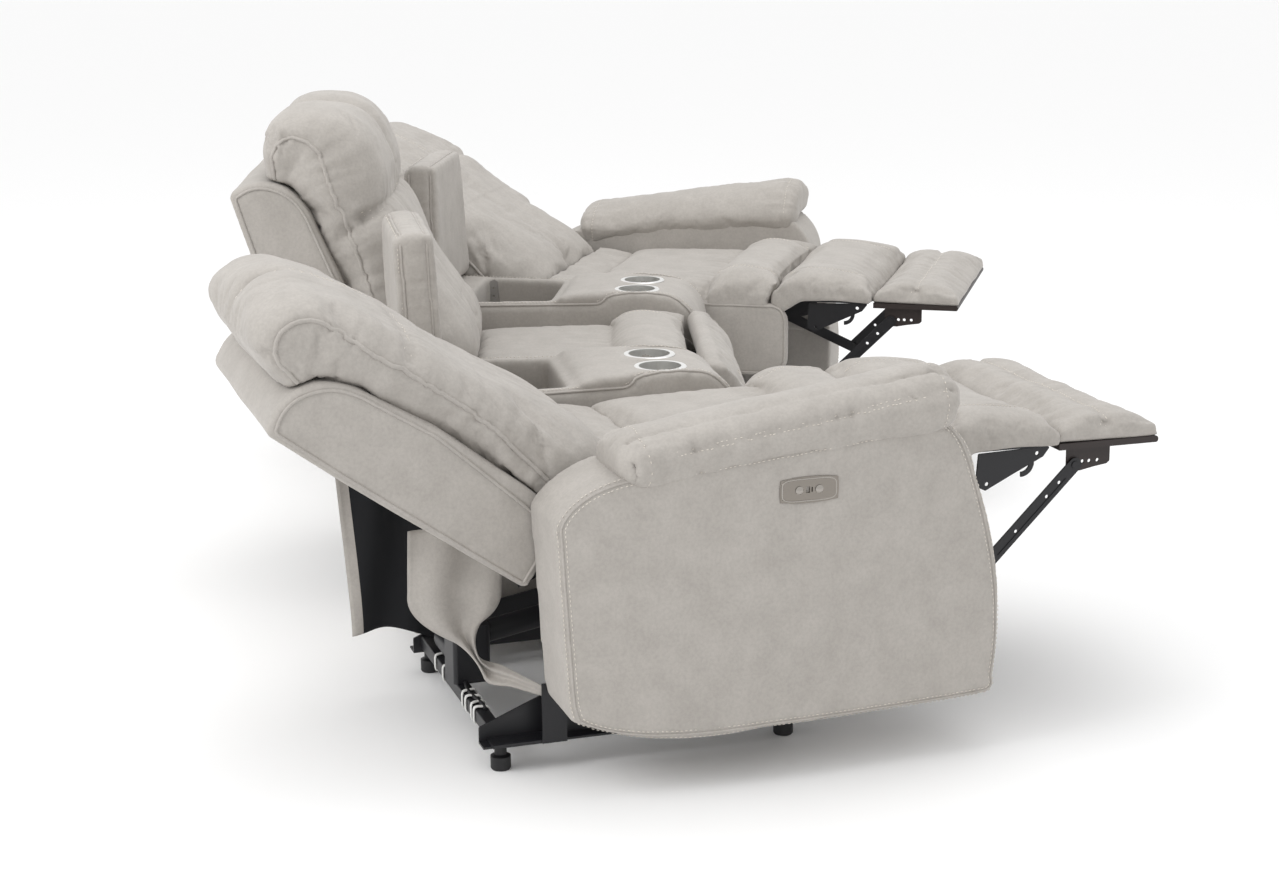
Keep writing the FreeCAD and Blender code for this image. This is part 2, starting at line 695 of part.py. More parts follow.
def footrest_board():
    """Edge-banded board with a drilled steel bracket near each end."""
    half = size("footrest_width") / 2
    board = hidden("board_form", "Part::Box")
    board.setExpression("Length", "Sizes.footrest_width")
    board.setExpression("Width", "Sizes.board_thickness")
    board.setExpression("Height", "Sizes.footrest_length - 4")
    board.Placement.Base = Vector(-half, SEAM[0] + 0.2, SEAM[1] - 4 - size("footrest_length") + 4)
    rounded = hidden("board_rounded", "Part::Fillet")
    rounded.Base = board
    doc.recompute()
    rounded.Edges = [(i + 1, 5.0, 5.0) for i, e in enumerate(board.Shape.Edges)
                     if abs(e.Vertexes[0].Z - e.Vertexes[1].Z) < 0.1
                     and abs(e.Vertexes[0].X - e.Vertexes[1].X) > 1 and e.Vertexes[0].Z < SEAM[1] - 50]
    doc.recompute()
    y, z = LINKAGE["bracket_untucked"]
    back = SEAM[0] + 0.2 + size("board_thickness")
    corners = [
        (back, z + 15), (y + 12, z + 15), (y + 13, z - 14), (y + 8, z - 40),
        (y + 4, z - 68), (y - 1, z - 74), (back, z - 74),
    ]
    ear = plate_body("bracket_form", [(mm(p[0]), mm(p[1])) for p in corners], "Sizes.link_sheet",
                     "3", [(mm(y - 4), mm(z - d), "3.5") for d in (18, 32, 49)])
    side = ear.Shape.copy()
    side.translate(Vector(LINK_INNER, 0, 0))
    flange = Part.makeBox(28, 3, 86, Vector(LINK_INNER - 26, back, z - 72))
    side = side.fuse(flange).removeSplitter()
    return solid_object(
        "footrest_board_form", Part.makeCompound([rounded.Shape] + both_sides(side).Solids)
    )


def footrest_steps(fullness):
    """Side outline of the closed footrest pad with its cross seam, (y, z)."""
    y, z = SEAM
    front = y - 26 - 10 * fullness
    end = z - size("footrest_length")
    middle = (z + end) / 2
    return [
        (y, z - 1),
        ("line", (y - 22 - 4 * fullness, z - 1)),
        ("arc", (front, z - 1 - (z - middle) / 2), (y - 24 - 8 * fullness, middle)),
        ("arc", (front + 3, middle - (middle - end) / 2), (y - 18 - 3 * fullness, end + 2)),
        ("line", (y, end)),
    ]


def footrest_pad():
    half = size("footrest_width") / 2
    stations = ((-half, 0), (-half + 30, 0.75), (-half + 110, 1))
    wires = [wire_at_x(x, footrest_steps(f)) for x, f in stations]
    wires += [wire_at_x(-x, footrest_steps(f)) for x, f in reversed(stations)]
    return solid_object("footrest_pad_form", Part.makeLoft(wires, True, True))


def chaise_steps(fullness):
    """Side outline of the closed chaise pad, a roll at the top and a pinched seam below."""
    y, z = KNUCKLE
    r = size("knuckle_radius") * (0.72 + 0.28 * fullness)
    low = SEAM[1] + 1
    diagonal = r * math.sqrt(0.5)
    return [
        (y, z),
        ("line", (y, z + r)),
        ("arc", (y - diagonal, z + diagonal), (y - r, z)),
        ("arc", (y - r + 8 - 4 * fullness, z - 90), (y - 26 - 6 * fullness, low)),
        ("line", (y, low)),
    ]


def chaise_pad():
    """Front roll and pad that turn with the footrest about the seat's front edge."""
    half = SEAT_HALF - 3
    stations = ((-half, 0), (-half + 34, 0.8), (-half + 120, 1))
    wires = [wire_at_x(x, chaise_steps(f)) for x, f in stations]
    wires += [wire_at_x(-x, chaise_steps(f)) for x, f in reversed(stations)]
    cover = Part.makeLoft(wires, True, True)
    inner = core_half() - 1
    roll = Part.makeCylinder(
        size("knuckle_radius") * 0.94, 2 * inner, Vector(-inner, KNUCKLE[0], KNUCKLE[1]),
        Vector(1, 0, 0), 90,
    )
    roll.rotate(Vector(0, KNUCKLE[0], KNUCKLE[1]), Vector(1, 0, 0), roll_start(roll))
    return solid_object("chaise_pad_form", cover.fuse(roll).removeSplitter())


def roll_start(roll):
    """Turn that brings a quarter cylinder behind and above the pivot line."""
    centre = roll.CenterOfMass - Vector(0, KNUCKLE[0], KNUCKLE[1])
    return 45 - math.degrees(math.atan2(centre.z, centre.y))


def core_half():
    """Half width of the seat cushion between the side panels."""
    return SEAT_HALF - size("panel_wall") - 10


def seat_steps(fullness):
    """Side outline of the seat cushion above its panels, with the seam before the bolster."""
    low = size("panel_top") + 1.5
    top = size("seat_crown") - 9 * (1 - fullness)
    crown = size("bolster_crown") - 14 * (1 - fullness)
    rear = 172.0
    notch = size("knuckle_radius") + 1.5
    y, z = KNUCKLE
    lift = math.sqrt(notch ** 2 - (low - z) ** 2)
    upper = (y + notch * math.cos(math.radians(52)), z + notch * math.sin(math.radians(52)))
    return [
        (rear, low),
        ("line", (rear, top - 10)),
        ("line", (rear - 20, top)),
        ("arc", (20, top + 2 + 3 * fullness), (-132, top)),
        ("line", (-144, top - 9)),
        ("arc", (-185, crown - 5), (-255, crown)),
        ("line", upper),
        ("arc", (y + notch, z + 2), (y + lift, low)),
    ]


def seat_cushion():
    """Crowned seat cushion: a wide top over the panels and a core between them."""
    half = SEAT_HALF - 2
    stations = ((-half, 0), (-half + 30, 0.7), (-half + 120, 1))
    wires = [wire_at_x(x, seat_steps(f)) for x, f in stations]
    wires += [wire_at_x(-x, seat_steps(f)) for x, f in reversed(stations)]
    top = Part.makeLoft(wires, True, True)
    inner = core_half()
    base = size("deck_height") + 0.3
    core = Part.makeBox(
        2 * inner, 172 + 318, size("panel_top") + 3 - base, Vector(-inner, -318, base)
    )
    notch = Part.makeCylinder(
        size("knuckle_radius") + 1.5, 2 * half + 20,
        Vector(-half - 10, KNUCKLE[0], KNUCKLE[1]), Vector(1, 0, 0),
    )
    arm_room = Part.makeBox(
        2 * inner + 2, 40, 60, Vector(-inner - 1, -318 - 1, base - 1)
    )
    core = core.cut(notch).cut(arm_room)
    return solid_object("seat_cushion_form", top.fuse(core).removeSplitter())


def seat_box():
    """Padded side panels with rounded fronts, and the deck board between them."""
    outer = SEAT_HALF
    body = plate_body("panel_form", [
        ("-352", "Sizes.panel_bottom"), ("300", "Sizes.panel_bottom"),
        ("300", "Sizes.panel_top"), ("-352", "Sizes.panel_top"),
    ], "Sizes.panel_wall")
    panel = body.Shape.copy()
    front = [e for e in panel.Edges if len(e.Vertexes) == 2
             and abs(e.Vertexes[0].Y + 352) < 0.1 and abs(e.Vertexes[1].Y + 352) < 0.1
             and abs(e.Vertexes[0].X - e.Vertexes[1].X) > 1]
    panel = panel.makeFillet(48, front)
    rim = [e for e in panel.Edges if all(abs(v.X - size("panel_wall")) < 0.1 for v in e.Vertexes)]
    panel = panel.makeFillet(6, rim)
    panel.translate(Vector(outer - size("panel_wall"), 0, 0))
    inner = outer - size("panel_wall") - 0.2
    deck = hidden("deck_form", "Part::Box")
    deck.setExpression("Length", f"{2 * inner}")
    deck.Width = 250 + 283
    deck.Height = 12
    deck.Placement.Base = Vector(-inner, -283, size("deck_height") - 12)
    doc.recompute()
    return solid_object(
        "seat_box_form", Part.makeCompound(both_sides(panel).Solids + [deck.Shape])
    )


def above_deck(steps):
    """Outline drawn from the seat deck, brought to its height above the floor."""
    deck = size("deck_height")
    lifted = [(steps[0][0], steps[0][1] + deck)]
    for kind, *places in steps[1:]:
        lifted.append((kind, *[(y, z + deck) for y, z in places]))
    return lifted


def shell_steps():
    """Side outline of the back shell, (y, z), with z from the seat deck."""
    return [
        (477, -9),
        ("line", (603, 355)),
        ("line", (640, 479)),
        ("arc", (642, 497), (626, 509)),
        ("arc", (576, 523), (527, 510)),
        ("arc", (498, 483), (478, 453)),
        ("line", (421, 317)),
        ("line", (366, 137)),
        ("line", (347, 57)),
        ("arc", (352, 41), (366, 31)),
    ]


SHELL_FOLD = 117.0
SHELL_REAR = 450.0


def back_shell():
    """Upholstered outer shell of the back."""
    half = size("shell_half_width")
    shape = prism(above_deck(shell_steps()), -half, half)
    rim = []
    for edge in shape.Edges:
        on_side = all(abs(abs(v.X) - half) < 0.1 for v in edge.Vertexes)
        high = max(v.Z for v in edge.Vertexes) > size("deck_height") + SHELL_FOLD
        if on_side and (high or min(v.Y for v in edge.Vertexes) > SHELL_REAR):
            rim.append(edge)
    shape = shape.makeFillet(9, rim)
    return solid_object("back_shell_form", shape)


GUSSET = [
    (322, 57),
    ("line", (328, 98)),
    ("arc", (333, 150), (342, 210)),
    ("arc", (354, 277), (372, 342)),
    ("arc", (390, 388), (404, 427)),
    ("arc", (430, 485), (447, 542)),
    ("arc", (462, 583), (490, 607)),
    ("arc", (530, 607), (554, 573)),
    ("line", (552, 525)),
    ("line", (524, 517)),
    ("line", (474, 455)),
    ("line", (417, 317)),
    ("line", (362, 137)),
    ("line", (344, 58)),
]

UPRIGHT_FRONT = [
    (188, 19),
    ("line", (182, 98)),
    ("arc", (156, 158), (192, 227)),
    ("arc", (240, 286), (276, 345)),
    ("arc", (304, 412), (346, 455)),
    ("arc", (336, 505), (346, 560)),
    ("arc", (380, 624), (450, 651)),
    ("arc", (542, 645), (582, 579)),
    ("line", (578, 527)),
    ("line", (526, 518)),
    ("line", (474, 455)),
    ("line", (417, 317)),
    ("line", (362, 137)),
    ("line", (344, 49)),
]

RELAXED_FRONT = [
    (200, 19),
    ("line", (222, 98)),
    ("arc", (248, 160), (284, 232)),
    ("arc", (312, 290), (336, 345)),
    ("arc", (356, 402), (370, 448)),
    ("arc", (390, 508), (426, 566)),
    ("arc", (464, 624), (512, 640)),
    ("arc", (562, 631), (582, 577)),
    ("line", (578, 527)),
    ("line", (526, 518)),
    ("line", (474, 455)),
    ("line", (417, 317)),
    ("line", (362, 137)),
    ("line", (344, 49)),
]

CHANNEL = [
    (192, 19),
    ("line", (188, 98)),
    ("arc", (162, 158), (198, 227)),
    ("arc", (246, 286), (282, 345)),
    ("arc", (310, 410), (356, 455)),
    ("arc", (356, 505), (378, 562)),
    ("arc", (408, 608), (454, 628)),
    ("arc", (530, 624), (566, 573)),
    ("line", (570, 529)),
    ("line", (526, 518)),
    ("line", (474, 455)),
    ("line", (417, 317)),
    ("line", (362, 137)),
    ("line", (344, 49)),
]

CUSHION_STATIONS = ((0, 0), (26, 0.55), (80, 0.88), (150, 1))
CHANNEL_HALF = 36.0


def back_cushion(name, front, channel):
    """Back cushion with piped gussets and a headrest in two lobes."""
    half = size("cushion_half_width")
    left = [(-half + inward, mixed(GUSSET, front, share)) for inward, share in CUSHION_STATIONS]
    left.append((-CHANNEL_HALF, front))
    wires = [wire_at_x(x, above_deck(steps)) for x, steps in left]
    wires.append(wire_at_x(0, above_deck(channel)))
    wires += [wire_at_x(-x, above_deck(steps)) for x, steps in reversed(left)]
    return solid_object(name, Part.makeLoft(wires, True, True))


def back_brackets():
    """Steel plates under the shell that hinge on the carriage plates."""
    y, z = BACK_PIVOT
    under = above_deck(shell_steps())
    shell_rear = under[0]
    shell_front = under[-1][-1]
    corners = [
        (y - 16, z - 16), (y + 20, z - 16), (shell_rear[0] + 5, shell_rear[1] - 10),
        (shell_rear[0] + 2, shell_rear[1] - 1.5), (shell_front[0] + 1, shell_front[1] - 1.5),
        (y - 16, z + 22),
    ]
    body = plate_body("back_bracket_form", [(mm(a), mm(b)) for a, b in corners], "4", None, [
        (mm(y), mm(z), "Sizes.pin_radius + 3 + Sizes.pin_clearance"),
    ])
    return solid_object("back_brackets_form", at_side(body.Shape, size("plate_plane") - 6))


PAD_REAR_GAP = 112.0
PAD_FRONT_GAP = 100.0
PAD_REAR_THICKNESS = 42.0
PAD_CLEARANCE = 0.3


def pad_ends():
    """Rear and front end of the arm pad along the arm."""
    return (size("arm_rear") - PAD_REAR_GAP, PAD_FRONT_GAP - size("arm_front"))


def pad_top(y):
    """Top of the arm pad at a place along the arm."""
    rear, front = pad_ends()
    rise = size("pad_front_height") - size("pad_rear_height")
    return size("pad_rear_height") + rise * (rear - y) / (rear - front)


def pad_seat(y):
    """Line that the arm pad stands on, on the arm's upper edge."""
    rear, front = pad_ends()
    share = (rear - y) / (rear - front)
    thick = PAD_REAR_THICKNESS + (size("pad_thickness") - PAD_REAR_THICKNESS) * share
    return pad_top(y) - thick


def arm_steps():
    """Side outline of the end arm's outer panel, (y, z)."""
    low = size("arm_bottom")
    front = -size("arm_front")
    rear = size("arm_rear")
    nose = front + 124
    pad_rear = pad_ends()[0]
    return [
        (rear - 16, low + 42),
        ("arc", (rear - 120, low + 8), (rear - 350, low)),
        ("line", (front + 24, low + 4)),
        ("arc", (front + 3, low + 12), (front + 2, low + 34)),
        ("arc", (front - 4, low + 200), (front + 48, low + 412)),
        ("arc", (front + 84, low + 488), (nose, pad_seat(nose) - PAD_CLEARANCE)),
        ("line", (pad_rear + 1, pad_seat(pad_rear) - PAD_CLEARANCE)),
        ("arc", (rear - 46, low + 438), (rear + 10, low + 386)),
        ("arc", (rear, low + 230), (rear - 10, low + 75)),
        ("arc", (rear - 11, low + 56), (rear - 16, low + 42)),
    ]


SWELL_CHORD = 420.0
SWELL_PLACE = 150.0
PLATE_PLACE = 187.0
PLATE_DROP = 170.0


def arm_body():
    inner = size("seat_width") / 2
    outer = inner + size("arm_width")
    steps = arm_steps()[:-1]
    block = prism(steps, -inner, -outer)
    swell = size("arm_swell")
    radius = (SWELL_CHORD ** 2 + swell ** 2) / (2 * swell)
    tall = size("pad_front_height") + 200
    drum = Part.makeCylinder(radius, tall, Vector(radius - outer, -SWELL_PLACE, 0))
    block = block.common(drum)
    rim = []
    for edge in block.Edges:
        box = edge.BoundBox
        if box.XMax < -inner - 60 and box.YLength + box.ZLength > 20:
            rim.append(edge)
    return block.makeFillet(16, rim)


def plate_centre():
    """Control plate on the arm's outer face, at the swell's high point."""
    outer = size("seat_width") / 2 + size("arm_width")
    return Vector(-outer, -PLATE_PLACE, size("pad_front_height") - PLATE_DROP)


def plate_outline(grow):
    """Bowed outline of the control plate in YZ, grown by a margin."""
    centre = plate_centre()
    half_length = size("plate_length") / 2 + grow
    half_height = size("plate_height") / 2 + grow
    short = half_height - 4
    y, z = centre.y, centre.z
    return [
        (y - half_length, z - short),
        ("arc", (y, z - half_height), (y + half_length, z - short)),
        ("arc", (y + half_length + 1, z), (y + half_length, z + short)),
        ("arc", (y, z + half_height), (y - half_length, z + short)),
        ("arc", (y - half_length - 1, z), (y - half_length + 0.01, z - short)),
    ]


def button_places():
    centre = plate_centre()
    half = size("button_spacing") / 2
    return [(centre.y - half, centre.z), (centre.y + half, centre.z)]


def left_arm_panel():
    """Outer arm panel with the seat for its control plate."""
    centre = plate_centre()
    deep = size("plate_thickness")
    recess = prism(plate_outline(0.3), centre.x + deep - 1, centre.x - 10)
    shape = arm_body().cut(recess)
    for place in button_places():
        room = rod_x(place, size("button_radius") + 1, centre.x - 5, centre.x + deep + 8)
        shape = shape.cut(room)
    return solid_object("arm_panel_form", shape)


def pad_steps():
    """Cross section of the arm pad at its rear as (x, z), crowned and round at its sides."""
    inner = size("seat_width") / 2 + 3
    outer = inner + size("arm_width") + 2
    top = size("pad_rear_height")
    depth = 2 * size("pad_thickness")
    middle = (inner + outer) / 2
    return [
        (-inner, top - depth),
        ("line", (-inner, top - 30)),
        ("arc", (-inner - 9, top - 10), (-inner - 30, top - 2)),
        ("arc", (-middle, top + 4), (-outer + 30, top - 4)),
        ("arc", (-outer + 8, top - 14), (-outer, top - 36)),
        ("line", (-outer, top - depth)),
    ]


def left_arm_pad():
    """Padded arm top that rises and thickens towards its front."""
    rear, front = pad_ends()
    section = Part.Face(wire_at_y(rear, pad_steps()))
    shape = section.extrude(Vector(0, front - rear, pad_top(front) - pad_top(rear)))
    beyond = 60.0
    under = Part.makePolygon([
        Vector(0, rear + beyond, pad_seat(rear + beyond)),
        Vector(0, front - beyond, pad_seat(front - beyond)),
        Vector(0, front - beyond, 0),
        Vector(0, rear + beyond, 0),
        Vector(0, rear + beyond, pad_seat(rear + beyond)),
    ])
    shape = shape.cut(Part.Face(under).extrude(Vector(-size("seat_width"), 0, 0)))
    ends = [e for e in shape.Edges if e.BoundBox.YLength < 1 and e.BoundBox.ZMin > pad_seat(rear) + 8]
    return solid_object("arm_pad_form", shape.makeChamfer(12, ends))


def left_control_plate():
    """Bowed metal plate with two button holes, a slot and a socket."""
    centre = plate_centre()
    deep = size("plate_thickness")
    shape = prism(plate_outline(0), centre.x + deep - 1, centre.x - 1)
    for place in button_places():
        shape = shape.cut(
            rod_x(place, size("button_radius") + 0.3, centre.x - 5, centre.x + deep + 2)
        )
    socket = Part.makeBox(6, 7, 11, Vector(centre.x - 2, centre.y - 1, centre.z - 5.5))
    slot = Part.makeBox(6, 2.5, 8, Vector(centre.x - 2, centre.y - 6, centre.z - 4))
    return solid_object("control_plate_form", shape.cut(socket).cut(slot))


def left_button(index):
    """Domed push button, a cylinder and a sphere cap."""
    y, z = button_places()[index]
    centre = plate_centre()
    stem = rod_x((y, z), size("button_radius"), centre.x - 2.2, centre.x + size("plate_thickness"))
    dome_radius = size("button_radius") * 1.6
    rise = math.sqrt(dome_radius ** 2 - size("button_radius") ** 2)
    dome = Part.makeSphere(dome_radius, Vector(centre.x - 2.2 + rise, y, z))
    half = Part.makeBox(20, 40, 40, Vector(centre.x - 22.1, y - 20, z - 20))
    return solid_object(f"button_form_{index}", stem.fuse(dome.common(half)).removeSplitter())


def console_width(y):
    """Half width of the console at a distance behind its front."""
    half_wedge = math.radians(size("wedge_angle") / 2)
    return size("console_front_width") / 2 + y * math.tan(half_wedge)


def wedge(y_from, y_to, z_from, z_to, inset=0.0):
    """Block that widens with the console."""
    a = console_width(y_from) - inset
    b = console_width(y_to) - inset
    outline = Part.makePolygon([
        Vector(-a, y_from, z_from), Vector(a, y_from, z_from),
        Vector(b, y_to, z_from), Vector(-b, y_to, z_from), Vector(-a, y_from, z_from),
    ])
    return Part.Face(outline).extrude(Vector(0, 0, z_to - z_from))


def console_body():
    """Wedge console: crowned front block with two cup bores, and an open storage bin."""
    depth = size("console_depth")
    rim = size("console_rim")
    crown = size("console_crown")
    side = [
        (12, size("console_bottom")),
        ("line", (depth, size("console_bottom"))),
        ("line", (depth, rim)),
        ("line", (size("bin_front") - 6, rim)),
        ("arc", (size("bin_front") - 22, rim + 3), (size("bin_front") - 34, crown - 8)),
        ("arc", (190, crown), (70, crown - 8)),
        ("arc", (20, crown - 38), (0, crown - 112)),
        ("arc", (-3, 300), (12, size("console_bottom") + 20)),
    ]
    wide = console_width(depth) + 5
    block = prism(side, -wide, wide)
    body = block.common(wedge(-20, depth, 0, crown + 20))
    body = body.cut(wedge(
        size("bin_front"), size("bin_rear"), size("bin_floor"), rim + 40, size("console_wall")
    ))
    for x in (-size("cup_spacing") / 2, size("cup_spacing") / 2):
        place = Vector(x, size("cup_setback"), cup_top() - size("cup_depth") - 2)
        body = body.cut(Part.makeCylinder(size("cup_radius") + size("cup_wall") + 0.3, 200, place))
        seat_place = Vector(x, size("cup_setback"), cup_top() - 1.8)
        body = body.cut(Part.makeCylinder(size("cup_flange") + 0.4, 60, seat_place))
    return solid_object("console_body_form", body)


def cup_top():
    return size("console_crown") - 3.0


def cup_holder():
    """Drawn steel cup with a rolled flange."""
    body = hidden("cup_holder_form", "PartDesign::Body")
    sketch = new_sketch(body, "cup_profile", "XZ_Plane")
    top = f"{cup_top()}"
    polygon(sketch, [
        ("0", f"{top} - Sizes.cup_depth - Sizes.cup_wall"),
        ("Sizes.cup_radius + Sizes.cup_wall", f"{top} - Sizes.cup_depth - Sizes.cup_wall"),
        ("Sizes.cup_radius + Sizes.cup_wall", f"{top} - 1.6"),
        ("Sizes.cup_flange", f"{top} - 1.6"),
        ("Sizes.cup_flange - 2", f"{top}"),
        ("Sizes.cup_radius", f"{top}"),
        ("Sizes.cup_radius", f"{top} - Sizes.cup_depth"),
        ("0", f"{top} - Sizes.cup_depth"),
    ])
    doc.recompute()
    turn = body.newObject("PartDesign::Revolution", "cup_turn")
    turn.Profile = sketch
    turn.ReferenceAxis = (sketch, ["V_Axis"])
    turn.Angle = 360
    doc.recompute()
    return body


def lid_turn(angle):
    pivot = (size("lid_pivot_back"), size("lid_pivot_height"))
    return yz_turn(pivot, angle)


def lid_shut_angle():
    return 90 + size("lid_lean")


LID_GAP = 0.6
LID_TAIL = 28.0


def lid():
    """Padded lid with a round tail, drawn shut over the bin and then stood open."""
    pivot_y = size("lid_pivot_back")
    pivot_z = size("lid_pivot_height")
    rear = pivot_y + LID_TAIL
    front = rear - size("lid_length")
    low = size("console_rim") + LID_GAP
    high = low + size("lid_thickness")
    body = wedge(front, pivot_y, low, high, 3.0)
    wide = console_width(rear)
    round_tail = Part.makeCylinder(
        pivot_z - low, 2 * wide, Vector(-wide, pivot_y, pivot_z), Vector(1, 0, 0)
    )
    tail = wedge(pivot_y, rear, low, pivot_z, 3.0).common(round_tail)
    heel = wedge(pivot_y, rear, pivot_z, high, 3.0)
    body = body.fuse([tail, heel]).removeSplitter()
    body = body.makeFillet(20, [e for e in body.Edges if e.BoundBox.ZMin > high - 1
                                and e.BoundBox.YLength < 1 and e.BoundBox.YMax < front + 1])
    rim = [e for e in body.Edges if e.BoundBox.ZMin > high - 1 and e.BoundBox.YLength > 100]
    body = body.makeFillet(10, rim)
    body.Placement = lid_turn(-lid_shut_angle())
    return solid_object("lid_form", body.copy())


def lid_hinges():
    """Plated hinge plates on the bin's side walls, one each side of the lid."""
    y = size("bin_rear") - 18
    rim = size("console_rim")
    sheet_metal = 3.0
    half = console_width(y) - size("console_wall") - sheet_metal - 0.6
    corners = [
        (y - 14, rim - 60), (y + 14, rim - 60), (y + 14, rim - 14),
        (y + 8, rim - 7), (y - 2, rim - 2), (y - 10, rim - 8),
    ]
    body = plate_body("lid_hinge_form", [(mm(a), mm(b)) for a, b in corners], mm(sheet_metal), "3", [
        (mm(y), mm(rim - 44), "3"), (mm(y), mm(rim - 24), "3"),
    ])
    shape = body.Shape.copy()
    turn = size("wedge_angle") / 2
    shape.rotate(Vector(0, y, rim), Vector(0, 0, 1), -turn)
    shape.translate(Vector(half, 0, 0))
    return solid_object("lid_hinge_pair_form", both_sides(shape))


def rear_bar_top():
    return size("foot_height") + size("rail_sheet") + BAR_LIFT + size("bar_side")


def rear_lining():
    """Dark-backed cloth panel under the back, on the side of the console."""
    stand = rear_bar_top()
    rear = size("foot_rear") + 8
    steps = [
        (rear - 10, stand),
        ("line", (rear + 10, stand)),
        ("arc", (rear + 62, stand + 20), (rear + 140, stand + 40)),
        ("line", (rear + 160, stand + 38)),
        ("arc", (rear + 164, stand + 130), (rear + 158, size("flap_top"))),
        ("line", (rear - 10, size("flap_top"))),
    ]
    return prism(steps, -FLAP_SHEET / 2, FLAP_SHEET / 2)


def rear_flap():
    """Cloth flap under the back, on the side of the arm, with its edges in an S."""
    stand = rear_bar_top()
    rear = size("foot_rear") + 8
    steps = [
        (rear - 12, stand),
        ("line", (rear + 8, stand)),
        ("arc", (rear + 26, stand + 82), (rear + 58, stand + 140)),
        ("arc", (rear + 104, stand + 190), (rear + 126, size("flap_top"))),
        ("line", (rear - 36, size("flap_top"))),
        ("arc", (rear - 22, stand + 178), (rear + 4, stand + 122)),
        ("arc", (rear - 2, stand + 60), (rear - 12, stand + 0.5)),
    ]
    return prism(steps[:-1], -FLAP_SHEET / 2, FLAP_SHEET / 2)


def wiring_loom():
    """Lead tied along the top of the rear bar, from straight runs and tangent arcs."""
    z = rear_bar_top() + 3.6
    y = size("foot_rear") + 8
    route = [
        Vector(-190, y - 4, z), Vector(-150, y - 4, z), Vector(-95, y + 4, z),
        Vector(-42, y - 3, z),
    ]
    radius = 3.5
    edges = []
    here = route[0]
    for i in range(1, len(route) - 1):
        before = (route[i] - route[i - 1])
        after = (route[i + 1] - route[i])
        turn = before.getAngle(after)
        reach = 0.45 * min(before.Length, after.Length)
        start = route[i] - before.normalize() * reach
        end = route[i] + after.normalize() * reach
        bend = reach / math.tan(turn / 2)
        inward = (start + end) * 0.5 - route[i]
        centre = route[i] + inward.normalize() * math.hypot(bend, reach)
        middle = centre + (route[i] - centre).normalize() * bend
        edges.append(Part.LineSegment(here, start).toShape())
        edges.append(Part.Arc(start, middle, end).toShape())
        here = end
        print("loom bend radius", round(bend, 1))
    edges.append(Part.LineSegment(here, route[-1]).toShape())
    path = Part.Wire(edges)
    section = Part.Wire([Part.Circle(route[0], Vector(1, 0, 0), radius).toShape()])
    tube = path.makePipeShell([section], True, False)
    expected = math.pi * radius ** 2 * path.Length
    print("loom volume ratio", round(tube.Volume / expected, 4))
    return solid_object("wiring_loom_form", tube)


SEATS = {"near": -1, "middle": 0, "far": 1}
SEAT_SHARE = {"near": 1.0, "middle": 0.0, "far": 1.0}
nodes = []


def node(name, source, placement):
    """Named node of the sofa: a link to its form, in its own place."""
    made = doc.addObject("App::Link", name)
    made.LinkedObject = source
    made.Label = name
    made.LinkTransform = True
    made.Placement = placement
    nodes.append(made)
    return made


def group_node(name, shapes):
    """Node of like solids that stay together."""
    made = doc.addObject("Part::Feature", name)
    made.Label = name
    made.Shape = Part.makeCompound(shapes)
    nodes.append(made)
    return made


def placed(shape, placement):
    copy = shape.copy()
    copy.Placement = placement.multiply(copy.Placement)
    return copy


def build_seats():
    forms = [
        ("seat_box", seat_box(), "carriage"),
        ("seat_cushion", seat_cushion(), "carriage"),
        ("carriage_frame", carriage_frame(), "carriage"),
        ("back_shell", back_shell(), "back"),
        ("back_brackets", back_brackets(), "back"),
        ("chaise_pad", chaise_pad(), "chaise"),
        ("flap_brackets", flap_brackets(), "chaise"),
        ("footrest_board", footrest_board(), "footrest"),
        ("footrest_pad", footrest_pad(), "footrest"),
        ("drive_links", drive_links(), "drive"),
        ("lift_links", lift_links(), "lift"),
        ("side_rails", side_rails(), "base"),
    ]
    upright = back_cushion("upright_cushion_form", UPRIGHT_FRONT, CHANNEL)
    shallow = mixed(RELAXED_FRONT, GUSSET, 0.15)
    relaxed = back_cushion("relaxed_cushion_form", RELAXED_FRONT, shallow)
    for seat, side in SEATS.items():
        motion = seat_motion(SEAT_SHARE[seat])
        for name, form, group in forms:
            node(f"{name}_{seat}", form, seat_origin(side).multiply(motion[group]))
        cushion = relaxed if SEAT_SHARE[seat] else upright
        node(f"back_cushion_{seat}", cushion, seat_origin(side).multiply(motion["back"]))


def build_base():
    bars = cross_bars().Shape
    drive = motor().Shape
    one_foot = foot().Shape
    all_bars = []
    all_motors = []
    all_feet = []
    for side in SEATS.values():
        frame = seat_origin(side)
        all_bars += placed(bars, frame).Solids
        all_motors.append(placed(drive, frame))
        for x in (-1, 1):
            for y in (-size("foot_front"), size("foot_rear")):
                spot = Vector(x * (size("rail_plane") + 16), y, 0)
                all_feet.append(placed(one_foot, frame.multiply(Placement(spot, Rotation()))))
    group_node("cross_bars", all_bars)
    group_node("motors", all_motors)
    group_node("feet", all_feet)
    linings = []
    flaps = []
    for side in (-1, 1):
        inboard = Placement(Vector(-side * size("flap_plane"), 0, 0), Rotation())
        outboard = Placement(Vector(side * size("flap_plane"), 0, 0), Rotation())
        linings.append(placed(rear_lining(), seat_origin(side).multiply(inboard)))
        flaps.append(placed(rear_flap(), seat_origin(side).multiply(outboard)))
    group_node("rear_linings", linings)
    group_node("rear_flaps", flaps)
    node("wiring_loom", wiring_loom(), seat_origin(-1))


